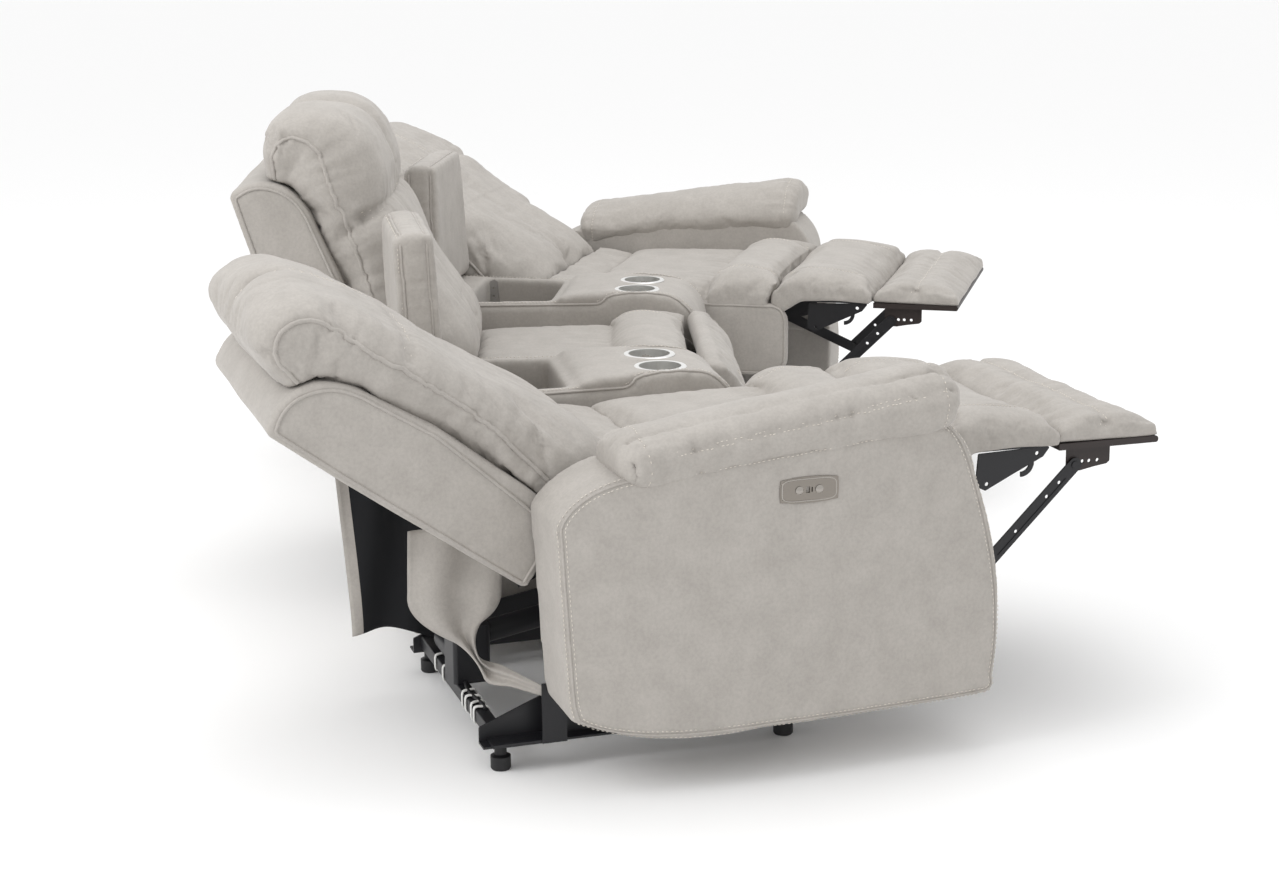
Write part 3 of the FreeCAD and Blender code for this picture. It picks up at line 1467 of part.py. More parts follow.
def build_arms():
    pieces = [("arm_panel", left_arm_panel()), ("arm_pad", left_arm_pad())]
    plate = left_control_plate()
    for name, form in pieces:
        node(f"{name}_near", form, seat_origin(-1))
        twin = hidden(f"{name}_mirror", "Part::Mirroring")
        twin.Source = form
        twin.Normal = Vector(1, 0, 0)
        doc.recompute()
        node(f"{name}_far", twin, seat_origin(1))
    mirrored = plate.Shape.mirror(Vector(0, 0, 0), Vector(1, 0, 0))
    group_node("control_plates", [
        placed(plate.Shape, seat_origin(-1)), placed(mirrored, seat_origin(1)),
    ])
    for index, word in enumerate(("recline", "return")):
        form = left_button(index)
        node(f"{word}_button_near", form, seat_origin(-1))
        twin = hidden(f"{word}_button_mirror", "Part::Mirroring")
        twin.Source = form
        twin.Normal = Vector(1, 0, 0)
        doc.recompute()
        node(f"{word}_button_far", twin, seat_origin(1))


def build_consoles():
    body = console_body()
    top = lid()
    hinges = lid_hinges()
    cup = cup_holder()
    cups = []
    pairs = []
    for word, side in (("near", -1), ("far", 1)):
        frame = console_origin(side)
        node(f"console_body_{word}", body, frame)
        node(f"console_lid_{word}", top, frame)
        pairs += placed(hinges.Shape, frame).Solids
        for x in (-size("cup_spacing") / 2, size("cup_spacing") / 2):
            spot = Placement(Vector(x, size("cup_setback"), 0), Rotation())
            cups.append(placed(cup.Shape, frame.multiply(spot)))
    group_node("lid_hinges", pairs)
    group_node("cup_holders", cups)


def shape_of(item):
    return Part.getShape(item, "", needSubElement=False)


def centre_rows():
    """Move every node so that the origin is on the floor under the sofa's middle."""
    box = FreeCAD.BoundBox()
    for item in nodes:
        box.add(shape_of(item).optimalBoundingBox(True, False))
    shift = Vector(-(box.XMin + box.XMax) / 2, -(box.YMin + box.YMax) / 2, -box.ZMin)
    for item in nodes:
        item.Placement = Placement(shift, Rotation()).multiply(item.Placement)
    return shift


build_seats()
build_base()
build_arms()
build_consoles()
doc.recompute()
ROW_SHIFT = centre_rows()
doc.recompute()

for item in doc.Objects:
    if "Invalid" in item.State or "Error" in item.State:
        raise RuntimeError(f"{item.Name} failed: {item.State}")
for item in nodes:
    shape = shape_of(item)
    if shape.isNull() or not shape.isValid() or not shape.Solids:
        raise RuntimeError(f"{item.Label} has no sound solid")

os.makedirs("parts", exist_ok=True)
for item in nodes:
    shape_of(item).exportStep(f"parts/{item.Label}.step")
print("nodes", len(nodes), "row shift", ROW_SHIFT)
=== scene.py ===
"""Upholstery, rear cloth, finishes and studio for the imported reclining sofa."""

import json
import math

import bmesh
import bpy
import numpy as np
from bpy.props import FloatProperty, FloatVectorProperty, IntProperty, PointerProperty
from mathutils import Matrix, Vector, kdtree, noise


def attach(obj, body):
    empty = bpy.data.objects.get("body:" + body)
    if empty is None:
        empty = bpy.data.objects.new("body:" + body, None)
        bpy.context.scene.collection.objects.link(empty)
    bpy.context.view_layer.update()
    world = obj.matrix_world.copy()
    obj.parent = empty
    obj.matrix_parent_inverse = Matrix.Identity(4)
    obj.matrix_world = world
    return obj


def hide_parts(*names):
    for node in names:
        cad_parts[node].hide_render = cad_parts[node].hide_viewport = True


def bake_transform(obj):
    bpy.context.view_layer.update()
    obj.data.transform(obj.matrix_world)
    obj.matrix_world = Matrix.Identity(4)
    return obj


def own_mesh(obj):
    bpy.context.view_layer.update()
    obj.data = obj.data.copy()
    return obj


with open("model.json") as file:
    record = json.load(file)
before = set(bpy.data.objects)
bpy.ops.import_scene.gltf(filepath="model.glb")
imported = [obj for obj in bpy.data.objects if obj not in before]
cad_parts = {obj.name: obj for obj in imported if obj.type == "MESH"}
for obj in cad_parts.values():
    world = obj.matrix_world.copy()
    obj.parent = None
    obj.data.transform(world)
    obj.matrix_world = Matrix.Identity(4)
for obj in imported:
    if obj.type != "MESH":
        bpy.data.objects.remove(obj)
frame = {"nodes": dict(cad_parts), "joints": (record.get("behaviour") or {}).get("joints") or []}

bl_info = {
    "name": "Reclining sofa upholstery",
    "version": (1, 0, 0),
    "blender": (5, 1, 0),
    "location": "3D View > Sidebar > Sofa",
    "description": "Dresses the packed reclining sofa",
    "category": "Object",
}

MM = 0.001

# The line that the chaise pad turns about and the seam below it, (v, z) in mm of a closed seat.
KNUCKLE = (-358, 463)
SEAM = (-358, 267)
# The open lid's pivot in its console's frame, and its lean.
LID_PIVOT = (0, 0.630, 0.568)
LID_LEAN = math.radians(2.5)
SEATS = ("near", "middle", "far")
ENDS = (("near", -1), ("far", 1))


def angle_property(name, text, default):
    """Property that holds an angle."""
    return FloatProperty(name=name, description=text, default=default, subtype="ANGLE")


def length_property(name, text, default):
    """Property that holds a length in metres."""
    return FloatProperty(name=name, description=text, default=default, unit="LENGTH")


def place_property(name, text, default):
    """Property that holds a place or a move in metres."""
    return FloatVectorProperty(
        name=name, description=text, default=default, subtype="TRANSLATION", unit="LENGTH",
    )


class SeatSizes(bpy.types.PropertyGroup):
    """Places that the pieces of one seat share, in its own closed frame."""

    recline: angle_property("Recline", "Turn of the back to reclined", math.radians(36))
    swing: angle_property("Footrest swing", "Turn of the chaise pad to out", math.radians(90))
    tuck: angle_property("Footrest tuck", "Tuck of the closed footrest pad", math.radians(8))
    travel: place_property("Travel", "Seat travel from closed to reclined", (0, -0.205, 0.037))
    back_pivot: place_property(
        "Back pivot", "Line that the closed back turns about", (0, 0.342, 0.358)
    )
    knuckle: place_property(
        "Knuckle", "Line that the chaise pad turns about", (0, KNUCKLE[0] * MM, KNUCKLE[1] * MM)
    )
    seam: place_property(
        "Seam", "Line between the chaise and footrest pads", (0, SEAM[0] * MM, SEAM[1] * MM)
    )


class ClothSizes(bpy.types.PropertyGroup):
    """Numbers that the upholstered pieces share."""

    step: length_property("Mesh step", "Edge length of the padded pieces' mesh", 0.006)
    piping: length_property("Piping radius", "Radius of a piped edge", 0.0038)
    stitch: length_property("Stitch length", "Length of one stitch", 0.0058)
    pitch: length_property("Stitch pitch", "Distance between stitches", 0.0085)
    pressure: FloatProperty(
        name="Stuffing pressure", description="Pressure inside a cushion while it settles",
        default=4.0,
    )
    frames: IntProperty(
        name="Settling frames", description="Frames that a cushion settles for", default=16,
    )


class StudioSizes(bpy.types.PropertyGroup):
    """The camera and its surroundings."""

    lens: FloatProperty(
        name="Lens", description="Focal length for a 36 mm sensor", default=67.1,
        unit="CAMERA",
    )
    place: place_property("Camera place", "Where the camera stands", (-5.1907, 0.2137, 1.5565))
    yaw: angle_property("Yaw", "Camera heading from the row's length", -0.033)
    pitch: angle_property("Pitch", "Camera tilt below the horizon", 0.242)
    roll: angle_property("Roll", "Camera roll", -0.007)


# Places.


def turn_about(point, angle):
    """Turn about the line along u through a point, positive from rear to up."""
    spot = Vector(point)
    return Matrix.Translation(spot) @ Matrix.Rotation(angle, 4, "X") @ Matrix.Translation(-spot)


def joint_frame(name, pivot):
    """From an upright frame (right, rear, up), where the pivot of a joint stands, to the row's."""
    joint = next(j for j in frame["joints"] if j["name"] == name)
    right = Vector(joint["axis"]).normalized()
    if right.x < 0:
        right = -right
    up = Vector((0, 0, 1))
    turn = Matrix((right, up.cross(right), up)).transposed()
    origin = Vector(joint["pos_m"]) - turn @ Vector(pivot)
    return Matrix.Translation(origin) @ turn.to_4x4()


def seat_base(seat):
    """From a seat's closed frame to the row frame, from its back joint."""
    sizes = bpy.context.scene.sofa_seat
    pivot = Vector(sizes.back_pivot) + Vector(sizes.travel) * share_of(seat)
    return joint_frame(f"back_recline_{seat}", pivot)


def share_of(seat):
    """How far a seat stands reclined at rest."""
    return 0.0 if seat == "middle" else 1.0


def seat_space(seat, group):
    """From a seat's closed frame to the row frame, for a group of pieces at rest."""
    sizes = bpy.context.scene.sofa_seat
    share = share_of(seat)
    base = seat_base(seat)
    if group == "root":
        return base
    slide = base @ Matrix.Translation(Vector(sizes.travel) * share)
    if group == "carriage":
        return slide
    if group == "back":
        return slide @ turn_about(sizes.back_pivot, -sizes.recline * share)
    chaise = slide @ turn_about(sizes.knuckle, -sizes.swing * share)
    if group == "chaise":
        return chaise
    return chaise @ turn_about(sizes.seam, sizes.tuck * (1 - share))


def console_space(word):
    """From a console's own frame to the row frame, from its lid joint."""
    return joint_frame(f"lid_hinge_{word}", LID_PIVOT)


# Outlines.


def mixed(first, second, share):
    """Outline between two outlines of the same steps."""
    out = [between(first[0], second[0], share)]
    for one, two in zip(first[1:], second[1:]):
        places = [between(a, b, share) for a, b in zip(one[1:], two[1:])]
        out.append((one[0], *places))
    return out


def between(first, second, share):
    """Point between two points."""
    return tuple(a + (b - a) * share for a, b in zip(first, second))


def step_counts(steps, gap):
    """Number of points on each step of an outline, gap apart."""
    here = Vector(steps[0])
    counts = []
    for step in steps[1:]:
        length = 0
        for place in step[1:]:
            length += (Vector(place) - here).length
            here = Vector(place)
        counts.append(max(1, round(length / gap)))
    return counts


def outline_points(steps, counts):
    """Points along an outline of lines and of curves through three points."""
    points = [Vector(steps[0])]
    for step, count in zip(steps[1:], counts):
        start = points[-1]
        end = Vector(step[-1])
        for i in range(1, count + 1):
            t = i / count
            point = start.lerp(end, t)
            if step[0] == "arc":
                bow = Vector(step[1]) - (start + end) / 2
                point = point + bow * (4 * t * (1 - t))
            points.append(point)
    return points


def path_at(u, steps, gap=8):
    """Path in a seat's frame, in metres, along an outline at one side distance in mm."""
    return [Vector((u, p[0], p[1])) * MM for p in outline_points(steps, step_counts(steps, gap))]


def across(points_at, half, gap=8):
    """Path across a seat, where points_at gives (v, z) in mm at a side distance."""
    count = round(2 * half / gap)
    path = []
    for i in range(count + 1):
        u = -half + 2 * half * i / count
        v, z = points_at(u)
        path.append(Vector((u, v, z)) * MM)
    return path


# Meshes.


def new_object(name, mesh):
    """Object of a mesh, in the scene."""
    made = bpy.data.objects.new(name, mesh)
    bpy.context.scene.collection.objects.link(made)
    return made


def mesh_of(name, bm):
    """Mesh of a bmesh, which is freed."""
    mesh = bpy.data.meshes.new(name)
    bm.to_mesh(mesh)
    bm.free()
    return mesh


def baked(obj):
    """A new mesh with an object's modifiers applied."""
    graph = bpy.context.evaluated_depsgraph_get()
    return bpy.data.meshes.new_from_object(obj.evaluated_get(graph), depsgraph=graph)


def loft(name, sections):
    """Closed mesh through outlines of equal point counts, each at its side distance in mm."""
    bm = bmesh.new()
    rings = []
    for u, points in sections:
        verts = [bm.verts.new(Vector((u, p[0], p[1])) * MM) for p in points]
        ring = [bm.edges.new((a, b)) for a, b in zip(verts, verts[1:] + verts[:1])]
        rings.append(ring)
    for one, two in zip(rings, rings[1:]):
        bmesh.ops.bridge_loops(bm, edges=one + two)
    for ring in (rings[0], rings[-1]):
        bmesh.ops.contextual_create(bm, geom=ring)
    bmesh.ops.recalc_face_normals(bm, faces=bm.faces)
    return mesh_of(name, bm)


def remeshed(name, mesh, step, rounds=2):
    """Even mesh of quads with its edges softened."""
    obj = new_object(name, mesh)
    modifier = obj.modifiers.new("Even", "REMESH")
    modifier.mode = "VOXEL"
    modifier.voxel_size = step
    out = baked(obj)
    bpy.data.objects.remove(obj)
    bm = bmesh.new()
    bm.from_mesh(out)
    for _ in range(rounds):
        bmesh.ops.smooth_vert(
            bm, verts=bm.verts, factor=0.5, use_axis_x=True, use_axis_y=True, use_axis_z=True
        )
    bm.to_mesh(out)
    bm.free()
    return out


def coordinates(mesh):
    """The vertices of a mesh as an array."""
    flat = np.empty(len(mesh.vertices) * 3)
    mesh.vertices.foreach_get("co", flat)
    return flat.reshape(-1, 3)


def place_coordinates(mesh, points):
    """Moves the vertices of a mesh to the points of an array."""
    mesh.vertices.foreach_set("co", points.ravel())
    mesh.update()


def normals(mesh):
    """The vertex normals of a mesh as an array."""
    flat = np.empty(len(mesh.vertices) * 3)
    mesh.vertex_normals.foreach_get("vector", flat)
    return flat.reshape(-1, 3)


def settled(mesh, cap=0.022, slack=0.03, held=None):
    """Mesh after its cover has settled over stuffing in a cloth simulation."""
    scene = bpy.context.scene
    sizes = scene.sofa_cloth
    start = coordinates(mesh)
    obj = new_object("settling", mesh)
    if held is not None:
        group = obj.vertex_groups.new(name="held")
        keep = [i for i, p in enumerate(start) if held(p)]
        group.add(keep, 1.0, "REPLACE")
    cloth = obj.modifiers.new("Cloth", "CLOTH")
    rules = cloth.settings
    rules.quality = 5
    rules.mass = 0.3
    rules.tension_stiffness = 12
    rules.compression_stiffness = 12
    rules.shear_stiffness = 6
    rules.bending_stiffness = 0.6
    rules.use_pressure = True
    rules.uniform_pressure_force = sizes.pressure
    rules.shrink_min = -slack
    rules.effector_weights.gravity = 0
    if held is not None:
        rules.vertex_group_mass = "held"
    cloth.collision_settings.use_collision = False
    cloth.point_cache.frame_start = 1
    cloth.point_cache.frame_end = sizes.frames
    for number in range(1, sizes.frames + 1):
        scene.frame_set(number)
    out = baked(obj)
    end = coordinates(out)
    moved = end - start
    length = np.linalg.norm(moved, axis=1)
    share = np.tanh(length / cap) * cap / np.maximum(length, 1e-9)
    place_coordinates(out, start + moved * share[:, None])
    bpy.data.objects.remove(obj)
    scene.frame_set(1)
    return out


def stuffed(name, mesh, cap, slack, held, swell, seed, fine=1.0):
    """A loft with an even mesh, settled over its stuffing and rumpled by swell (height, size)."""
    mesh = remeshed(name, mesh, bpy.context.scene.sofa_cloth.step * fine, 3)
    return rumpled(settled(mesh, cap, slack, held), *swell, seed)


class Seam:
    """A sewn line: its points, their running length and a search tree."""

    def __init__(self, path, step=0.002):
        points = [path[0]]
        for a, b in zip(path, path[1:]):
            count = max(1, round((b - a).length / step))
            points += [a.lerp(b, i / count) for i in range(1, count + 1)]
        self.points = points
        self.runs = [0.0]
        for a, b in zip(points, points[1:]):
            self.runs.append(self.runs[-1] + (b - a).length)
        self.tree = kdtree.KDTree(len(points))
        for i, p in enumerate(points):
            self.tree.insert(p, i)
        self.tree.balance()

    def nearest(self, point):
        """Distance to the line, and the running length there."""
        _, index, distance = self.tree.find(point)
        return distance, self.runs[index]


def sewn(mesh, path, depth=0.004, width=0.006, puff=0.0, reach=0.03, gather=0.0, pitch=0.02,
         spread=0.05, seed=1):
    """Draws a cover in along a sewn line, with swell and gathers on both sides of it."""
    seam = Seam(path)
    points = coordinates(mesh)
    outward = normals(mesh)
    far = max(4 * width, 3 * reach if puff else 0, 3 * spread if gather else 0)
    low = np.min([tuple(p) for p in path], axis=0) - far
    high = np.max([tuple(p) for p in path], axis=0) + far
    close = np.where(np.all((points > low) & (points < high), axis=1))[0]
    moves = np.zeros(len(points))
    for i in close:
        distance, run = seam.nearest(points[i])
        if distance > far:
            continue
        move = -depth * math.exp(-((distance / width) ** 2))
        if puff:
            move += puff * (distance / reach) * math.exp(1 - distance / reach)
        if gather:
            along = noise.noise(Vector((run / pitch, seed * 7.3, distance * 6)))
            fine = noise.noise(Vector((run / pitch * 2.3, seed * 3.1, distance * 9)))
            fold = along + 0.5 * fine
            move += gather * fold * math.exp(-distance / spread) * min(1, distance / (1.5 * width))
        moves[i] = move
    place_coordinates(mesh, points + outward * moves[:, None])
    return mesh


def rumpled(mesh, height, size, seed=0):
    """Adds slow swells to a cover, as a filled cushion has."""
    points = coordinates(mesh)
    outward = normals(mesh)
    moves = np.array([
        noise.noise(Vector(p) / size + Vector((seed * 5.1, 0, 0))) for p in points
    ])
    place_coordinates(mesh, points + outward * (moves * height)[:, None])
    return mesh


def on_surface(mesh, path, lift=0.0):
    """Points of a path brought onto a mesh, with the surface's direction there."""
    obj = new_object("surface", mesh)
    bpy.context.view_layer.update()
    out = []
    for point in path:
        found, place, normal, _ = obj.closest_point_on_mesh(point)
        if found:
            out.append((place + normal * lift, normal))
    bpy.data.objects.remove(obj)
    return out


def piping(mesh, path, radius=None, sink=0.35):
    """Piped cord along a path on a mesh."""
    radius = radius or bpy.context.scene.sofa_cloth.piping
    places = [p for p, _ in on_surface(mesh, path, radius * (1 - 2 * sink))]
    return tube("piping", places, radius)


def tube(name, places, radius, sides=4, closed=False):
    """Round tube along points, as a mesh."""
    curve = bpy.data.curves.new(name, "CURVE")
    curve.dimensions = "3D"
    curve.bevel_depth = radius
    curve.bevel_resolution = sides
    curve.use_fill_caps = True
    line = curve.splines.new("POLY")
    line.points.add(len(places) - 1)
    for spot, place in zip(line.points, places):
        spot.co = (*place, 1)
    line.use_cyclic_u = closed
    obj = new_object(name, curve)
    bpy.context.view_layer.update()
    out = baked(obj)
    bpy.data.objects.remove(obj)
    return out


def stitches(mesh, path, offset=0.0, lift=0.0004):
    """Row of stitches along a path on a mesh, moved sideways on the surface."""
    sizes = bpy.context.scene.sofa_cloth
    seam = Seam(path)
    count = int(seam.runs[-1] / sizes.pitch)
    spots = []
    for i in range(count):
        run = (i + 0.5) * sizes.pitch
        index = min(int(np.searchsorted(seam.runs, run)), len(seam.points) - 2)
        spots.append(index)
    places = on_surface(mesh, [seam.points[i] for i in spots])
    ahead = [(seam.points[i + 1] - seam.points[i]).normalized() for i in spots]
    bm = bmesh.new()
    for (place, normal), direction in zip(places, ahead):
        side = normal.cross(direction).normalized()
        along = side.cross(normal)
        turn = Matrix((along, side, normal)).transposed().to_4x4()
        spot = place + side * offset + normal * lift
        shape = Matrix.Diagonal((sizes.stitch / 2, 0.0009, 0.0007, 1))
        bmesh.ops.create_icosphere(
            bm, subdivisions=1, radius=1, matrix=Matrix.Translation(spot) @ turn @ shape
        )
    return mesh_of("stitches", bm)


def stitched(mesh, paths, offset):
    """Two rows of stitches along each path, as parts."""
    return [(stitches(mesh, path, move), MATERIALS["thread"])
            for path in paths for move in (-offset, offset)]


def joined(name, parts):
    """One object of several (mesh, material) parts."""
    bm = bmesh.new()
    materials = []
    for mesh, material in parts:
        if material not in materials:
            materials.append(material)
        before = len(bm.faces)
        bm.from_mesh(mesh)
        bm.faces.ensure_lookup_table()
        for face in bm.faces[before:]:
            face.material_index = materials.index(material)
            face.smooth = True
    out = mesh_of(name, bm)
    for material in materials:
        out.materials.append(material)
    return out


def placed(name, mesh, space):
    """Object of a mesh's copy in its place."""
    copy = mesh.copy()
    copy.transform(space)
    return new_object(name, copy)


def dress(node, mesh, space, body):
    """Puts a copy of a padded mesh on a body, instead of a CAD node."""
    obj = placed(f"{node}.soft", mesh, space)
    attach(obj, body)
    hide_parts(node)


def add_detail(name, mesh, space):
    """Puts a copy of a mesh on the fixed body, beside the CAD nodes."""
    obj = placed(name, mesh, space)
    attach(obj, "root")


def welted(name, mesh, u, welt):
    """Mesh with a piped welt along an outline, at a side distance on each of its sides."""
    cover = MATERIALS["cover"]
    parts = [(mesh, cover)]
    for side in (-1, 1):
        path = path_at(side * u, welt)
        sewn(mesh, path, 0.002, 0.006)
        parts.append((piping(mesh, path, 0.003), cover))
    return joined(name, parts)


def softened(node, space, rounds, fine=1.0):
    """CAD node as an even mesh with soft edges, in the frame of its group."""
    mesh = frame["nodes"][node].data.copy()
    mesh.materials.clear()
    mesh.transform(space.inverted())
    return remeshed(node, mesh, bpy.context.scene.sofa_cloth.step * fine, rounds)


# Materials.


def srgb(text):
    """Linear colour from a hex sRGB colour."""
    out = []
    for i in (0, 2, 4):
        c = int(text[i:i + 2], 16) / 255
        out.append(c / 12.92 if c <= 0.04045 else ((c + 0.055) / 1.055) ** 2.4)
    return (*out, 1)


def nodes_of(name):
    """New material, its node tree and its shader."""
    material = bpy.data.materials.new(name)
    material.use_nodes = True
    tree = material.node_tree
    shader = tree.nodes["Principled BSDF"]
    return material, tree, shader


def add(tree, kind, settings=None, **inputs):
    """A node with its settings and its inputs, each a value or an output to link."""
    node = tree.nodes.new(kind)
    for key, value in (settings or {}).items():
        setattr(node, key, value)
    for key, value in inputs.items():
        socket = node.inputs[key.replace("_", " ")]
        if isinstance(value, bpy.types.NodeSocket):
            tree.links.new(value, socket)
        else:
            socket.default_value = value
    return node


def scaled_noise(tree, size, detail=3.0, roughness=0.55):
    """Noise with features of about this size, in metres."""
    place = add(tree, "ShaderNodeTexCoord").outputs["Object"]
    return add(tree, "ShaderNodeTexNoise", Vector=place, Scale=1 / size, Detail=detail,
               Roughness=roughness).outputs["Fac"]


def ramp(tree, value, stops):
    """Colour of a value through stops of (position, colour)."""
    node = add(tree, "ShaderNodeValToRGB", Fac=value)
    edge = node.color_ramp.elements
    edge[0].position, edge[0].color = stops[0]
    edge[1].position, edge[1].color = stops[-1]
    for position, colour in stops[1:-1]:
        made = edge.new(position)
        made.color = colour
    return node.outputs["Color"]


def microfibre(name="leather_look_microfibre", light="ada8a2", dark="a49f99"):
    """Matte nubuck-like cover with soft mottling and a fine grain."""
    material, tree, shader = nodes_of(name)
    cloud = scaled_noise(tree, 0.055, 5, 0.62)
    colour = ramp(tree, cloud, [(0.34, srgb(dark)), (0.66, srgb(light))])
    specks = scaled_noise(tree, 0.006, 4, 0.7)
    shade = ramp(tree, specks, [(0.36, (0.93, 0.93, 0.93, 1)), (0.6, (1.03, 1.03, 1.03, 1))])
    mix = add(tree, "ShaderNodeMix", {"data_type": "RGBA", "blend_type": "MULTIPLY"})
    mix.inputs[0].default_value = 1.0
    tree.links.new(colour, mix.inputs[6])
    tree.links.new(shade, mix.inputs[7])
    tree.links.new(mix.outputs[2], shader.inputs["Base Color"])
    grain = scaled_noise(tree, 0.0012, 2, 0.5)
    bump = add(tree, "ShaderNodeBump", Strength=0.25, Distance=0.0006, Height=grain)
    wrinkle = scaled_noise(tree, 0.02, 4, 0.6)
    swell = add(tree, "ShaderNodeBump", Strength=0.35, Distance=0.0022, Height=wrinkle,
                Normal=bump.outputs["Normal"])
    tree.links.new(swell.outputs["Normal"], shader.inputs["Normal"])
    shader.inputs["Roughness"].default_value = 0.72
    shader.inputs["Sheen Weight"].default_value = 0.12
    shader.inputs["Sheen Roughness"].default_value = 0.5
    return material


def plain(name, colour, roughness=0.5, metallic=0.0, grain=0.0, size=0.001):
    """Even finish with a fine unevenness in its surface."""
    material, tree, shader = nodes_of(name)
    shader.inputs["Base Color"].default_value = srgb(colour)
    shader.inputs["Roughness"].default_value = roughness
    shader.inputs["Metallic"].default_value = metallic
    if grain:
        height = scaled_noise(tree, size, 2, 0.5)
        bump = add(tree, "ShaderNodeBump", Strength=0.3, Distance=grain, Height=height)
        tree.links.new(bump.outputs["Normal"], shader.inputs["Normal"])
    return material


MATERIALS = {}


def make_materials():
    """Fills MATERIALS with each finish of the sofa."""
    MATERIALS.update({
        "cover": microfibre(),
        "thread": plain("polyester_thread", "d8d2c8", 0.6),
        "steel": plain("black_powder_coat", "16161a", 0.42, 0.0, 0.0002, 0.0012),
        "lining": plain("black_nonwoven_lining", "17181b", 0.95, 0.0, 0.0004, 0.0015),
        "board": plain("dark_edge_band", "2a211f", 0.45, 0.0, 0.0002, 0.003),
        "plastic": plain("black_moulded_plastic", "141416", 0.5, 0.0, 0.0002, 0.0008),
        "lead": plain("black_cable_sheath", "121214", 0.55),
        "plate": plain("satin_nickel", "8c867f", 0.32, 1.0, 0.0001, 0.0006),
        "button": plain("polished_nickel", "a39e98", 0.2, 1.0),
        "chrome": plain("bright_zinc_plate", "c4c4c4", 0.22, 1.0),
        "cup": plain("brushed_stainless_steel", "e6e6e4", 0.32, 0.9),
        "tape": plain("white_vinyl_tape", "d9d9d6", 0.5),
    })


NODE_FINISH = {
    "carriage_frame": "steel", "back_brackets": "steel", "flap_brackets": "steel",
    "drive_links": "steel", "lift_links": "steel", "side_rails": "steel",
    "cross_bars": "steel", "motors": "steel", "feet": "plastic", "footrest_board": "board",
    "wiring_loom": "lead", "control_plates": "plate", "recline_button": "button",
    "return_button": "button", "lid_hinges": "chrome", "cup_holders": "cup",
}


def finish_nodes():
    """Gives each CAD node that stays its finish."""
    for name, obj in frame["nodes"].items():
        for start, key in NODE_FINISH.items():
            if name.startswith(start):
                count = max(1, len(obj.material_slots))
                obj.data.materials.clear()
                for _ in range(count):
                    obj.data.materials.append(MATERIALS[key])


# Back.

# Height of the seats' deck in mm, which the outlines of the back start from.
DECK = 383

GUSSET = [
    (322, 57),
    ("line", (328, 98)),
    ("arc", (333, 150), (342, 210)),
    ("arc", (354, 277), (372, 342)),
    ("arc", (390, 388), (404, 427)),
    ("arc", (430, 485), (447, 542)),
    ("arc", (462, 583), (490, 607)),
    ("arc", (530, 607), (554, 573)),
    ("line", (552, 525)),
    ("line", (524, 517)),
    ("line", (474, 455)),
    ("line", (417, 317)),
    ("line", (362, 137)),
    ("line", (344, 58)),
]
REAR = [
    ("line", (578, 527)),
    ("line", (526, 518)),
    ("line", (474, 455)),
    ("line", (417, 317)),
    ("line", (362, 137)),
    ("line", (344, 49)),
]
UPRIGHT_FRONT = [
    (188, 19),
    ("line", (182, 98)),
    ("arc", (156, 158), (192, 227)),
    ("arc", (240, 286), (276, 345)),
    ("arc", (304, 412), (346, 455)),
    ("arc", (336, 505), (346, 560)),
    ("arc", (380, 624), (450, 651)),
    ("arc", (542, 645), (582, 579)),
    *REAR,
]
RELAXED_FRONT = [
    (200, 19),
    ("line", (222, 98)),
    ("arc", (248, 160), (284, 232)),
    ("arc", (312, 290), (336, 345)),
    ("arc", (356, 402), (370, 448)),
    ("arc", (390, 508), (426, 566)),
    ("arc", (464, 624), (512, 640)),
    ("arc", (562, 631), (582, 577)),
    *REAR,
]
CHANNEL = [
    (192, 19),
    ("line", (188, 98)),
    ("arc", (162, 158), (198, 227)),
    ("arc", (246, 286), (282, 345)),
    ("arc", (310, 410), (356, 455)),
    ("arc", (356, 505), (378, 562)),
    ("arc", (408, 608), (454, 628)),
    ("arc", (530, 624), (566, 573)),
    ("line", (570, 529)),
    *REAR[1:],
]
# Steps of a back outline that end at its waist and at the crease below the head.
WAIST = 3
CREASE = 5


def above_deck(steps):
    """Outline in a seat's frame from one with its heights given from the deck."""
    out = [(steps[0][0], steps[0][1] + DECK)]
    for kind, *places in steps[1:]:
        out.append((kind, *((v, z + DECK) for v, z in places)))
    return out


class SofaBackSizes(bpy.types.PropertyGroup):
    """The back cushion, in mm of a seat's closed frame."""

    half: FloatProperty(name="Half width", description="Half width at the gussets, mm", default=286)
    channel_width: FloatProperty(
        name="Channel width", description="Half width of the channel between the lobes, mm",
        default=26,
    )


def fullness(u, half, edge):
    """Share of the full section at a side distance, round at the edges."""
    inward = min(1.0, (half - abs(u)) / edge)
    return math.sqrt(max(0.0, 1 - (1 - inward) ** 2.4))


def back_section(u, half, front, channel):
    """Back cushion outline at a side distance, (v, z)."""
    steps = mixed(GUSSET, front, fullness(u, half, 120))
    width = bpy.context.scene.sofa_back.channel_width
    return above_deck(mixed(steps, channel, math.exp(-((u / width) ** 2))))


def sections_across(section, half, gap=12, count_gap=10):
    """Even stations across a piece, with closer ones by its sides."""
    number = round(2 * half / gap)
    counts = step_counts(section(0), count_gap)
    out = []
    for i in range(number + 1):
        turn = math.pi * (i / number - 0.5)
        u = half * (0.55 * math.sin(turn) + 0.45 * (2 * i / number - 1))
        out.append((u, outline_points(section(u), counts)))
    return out


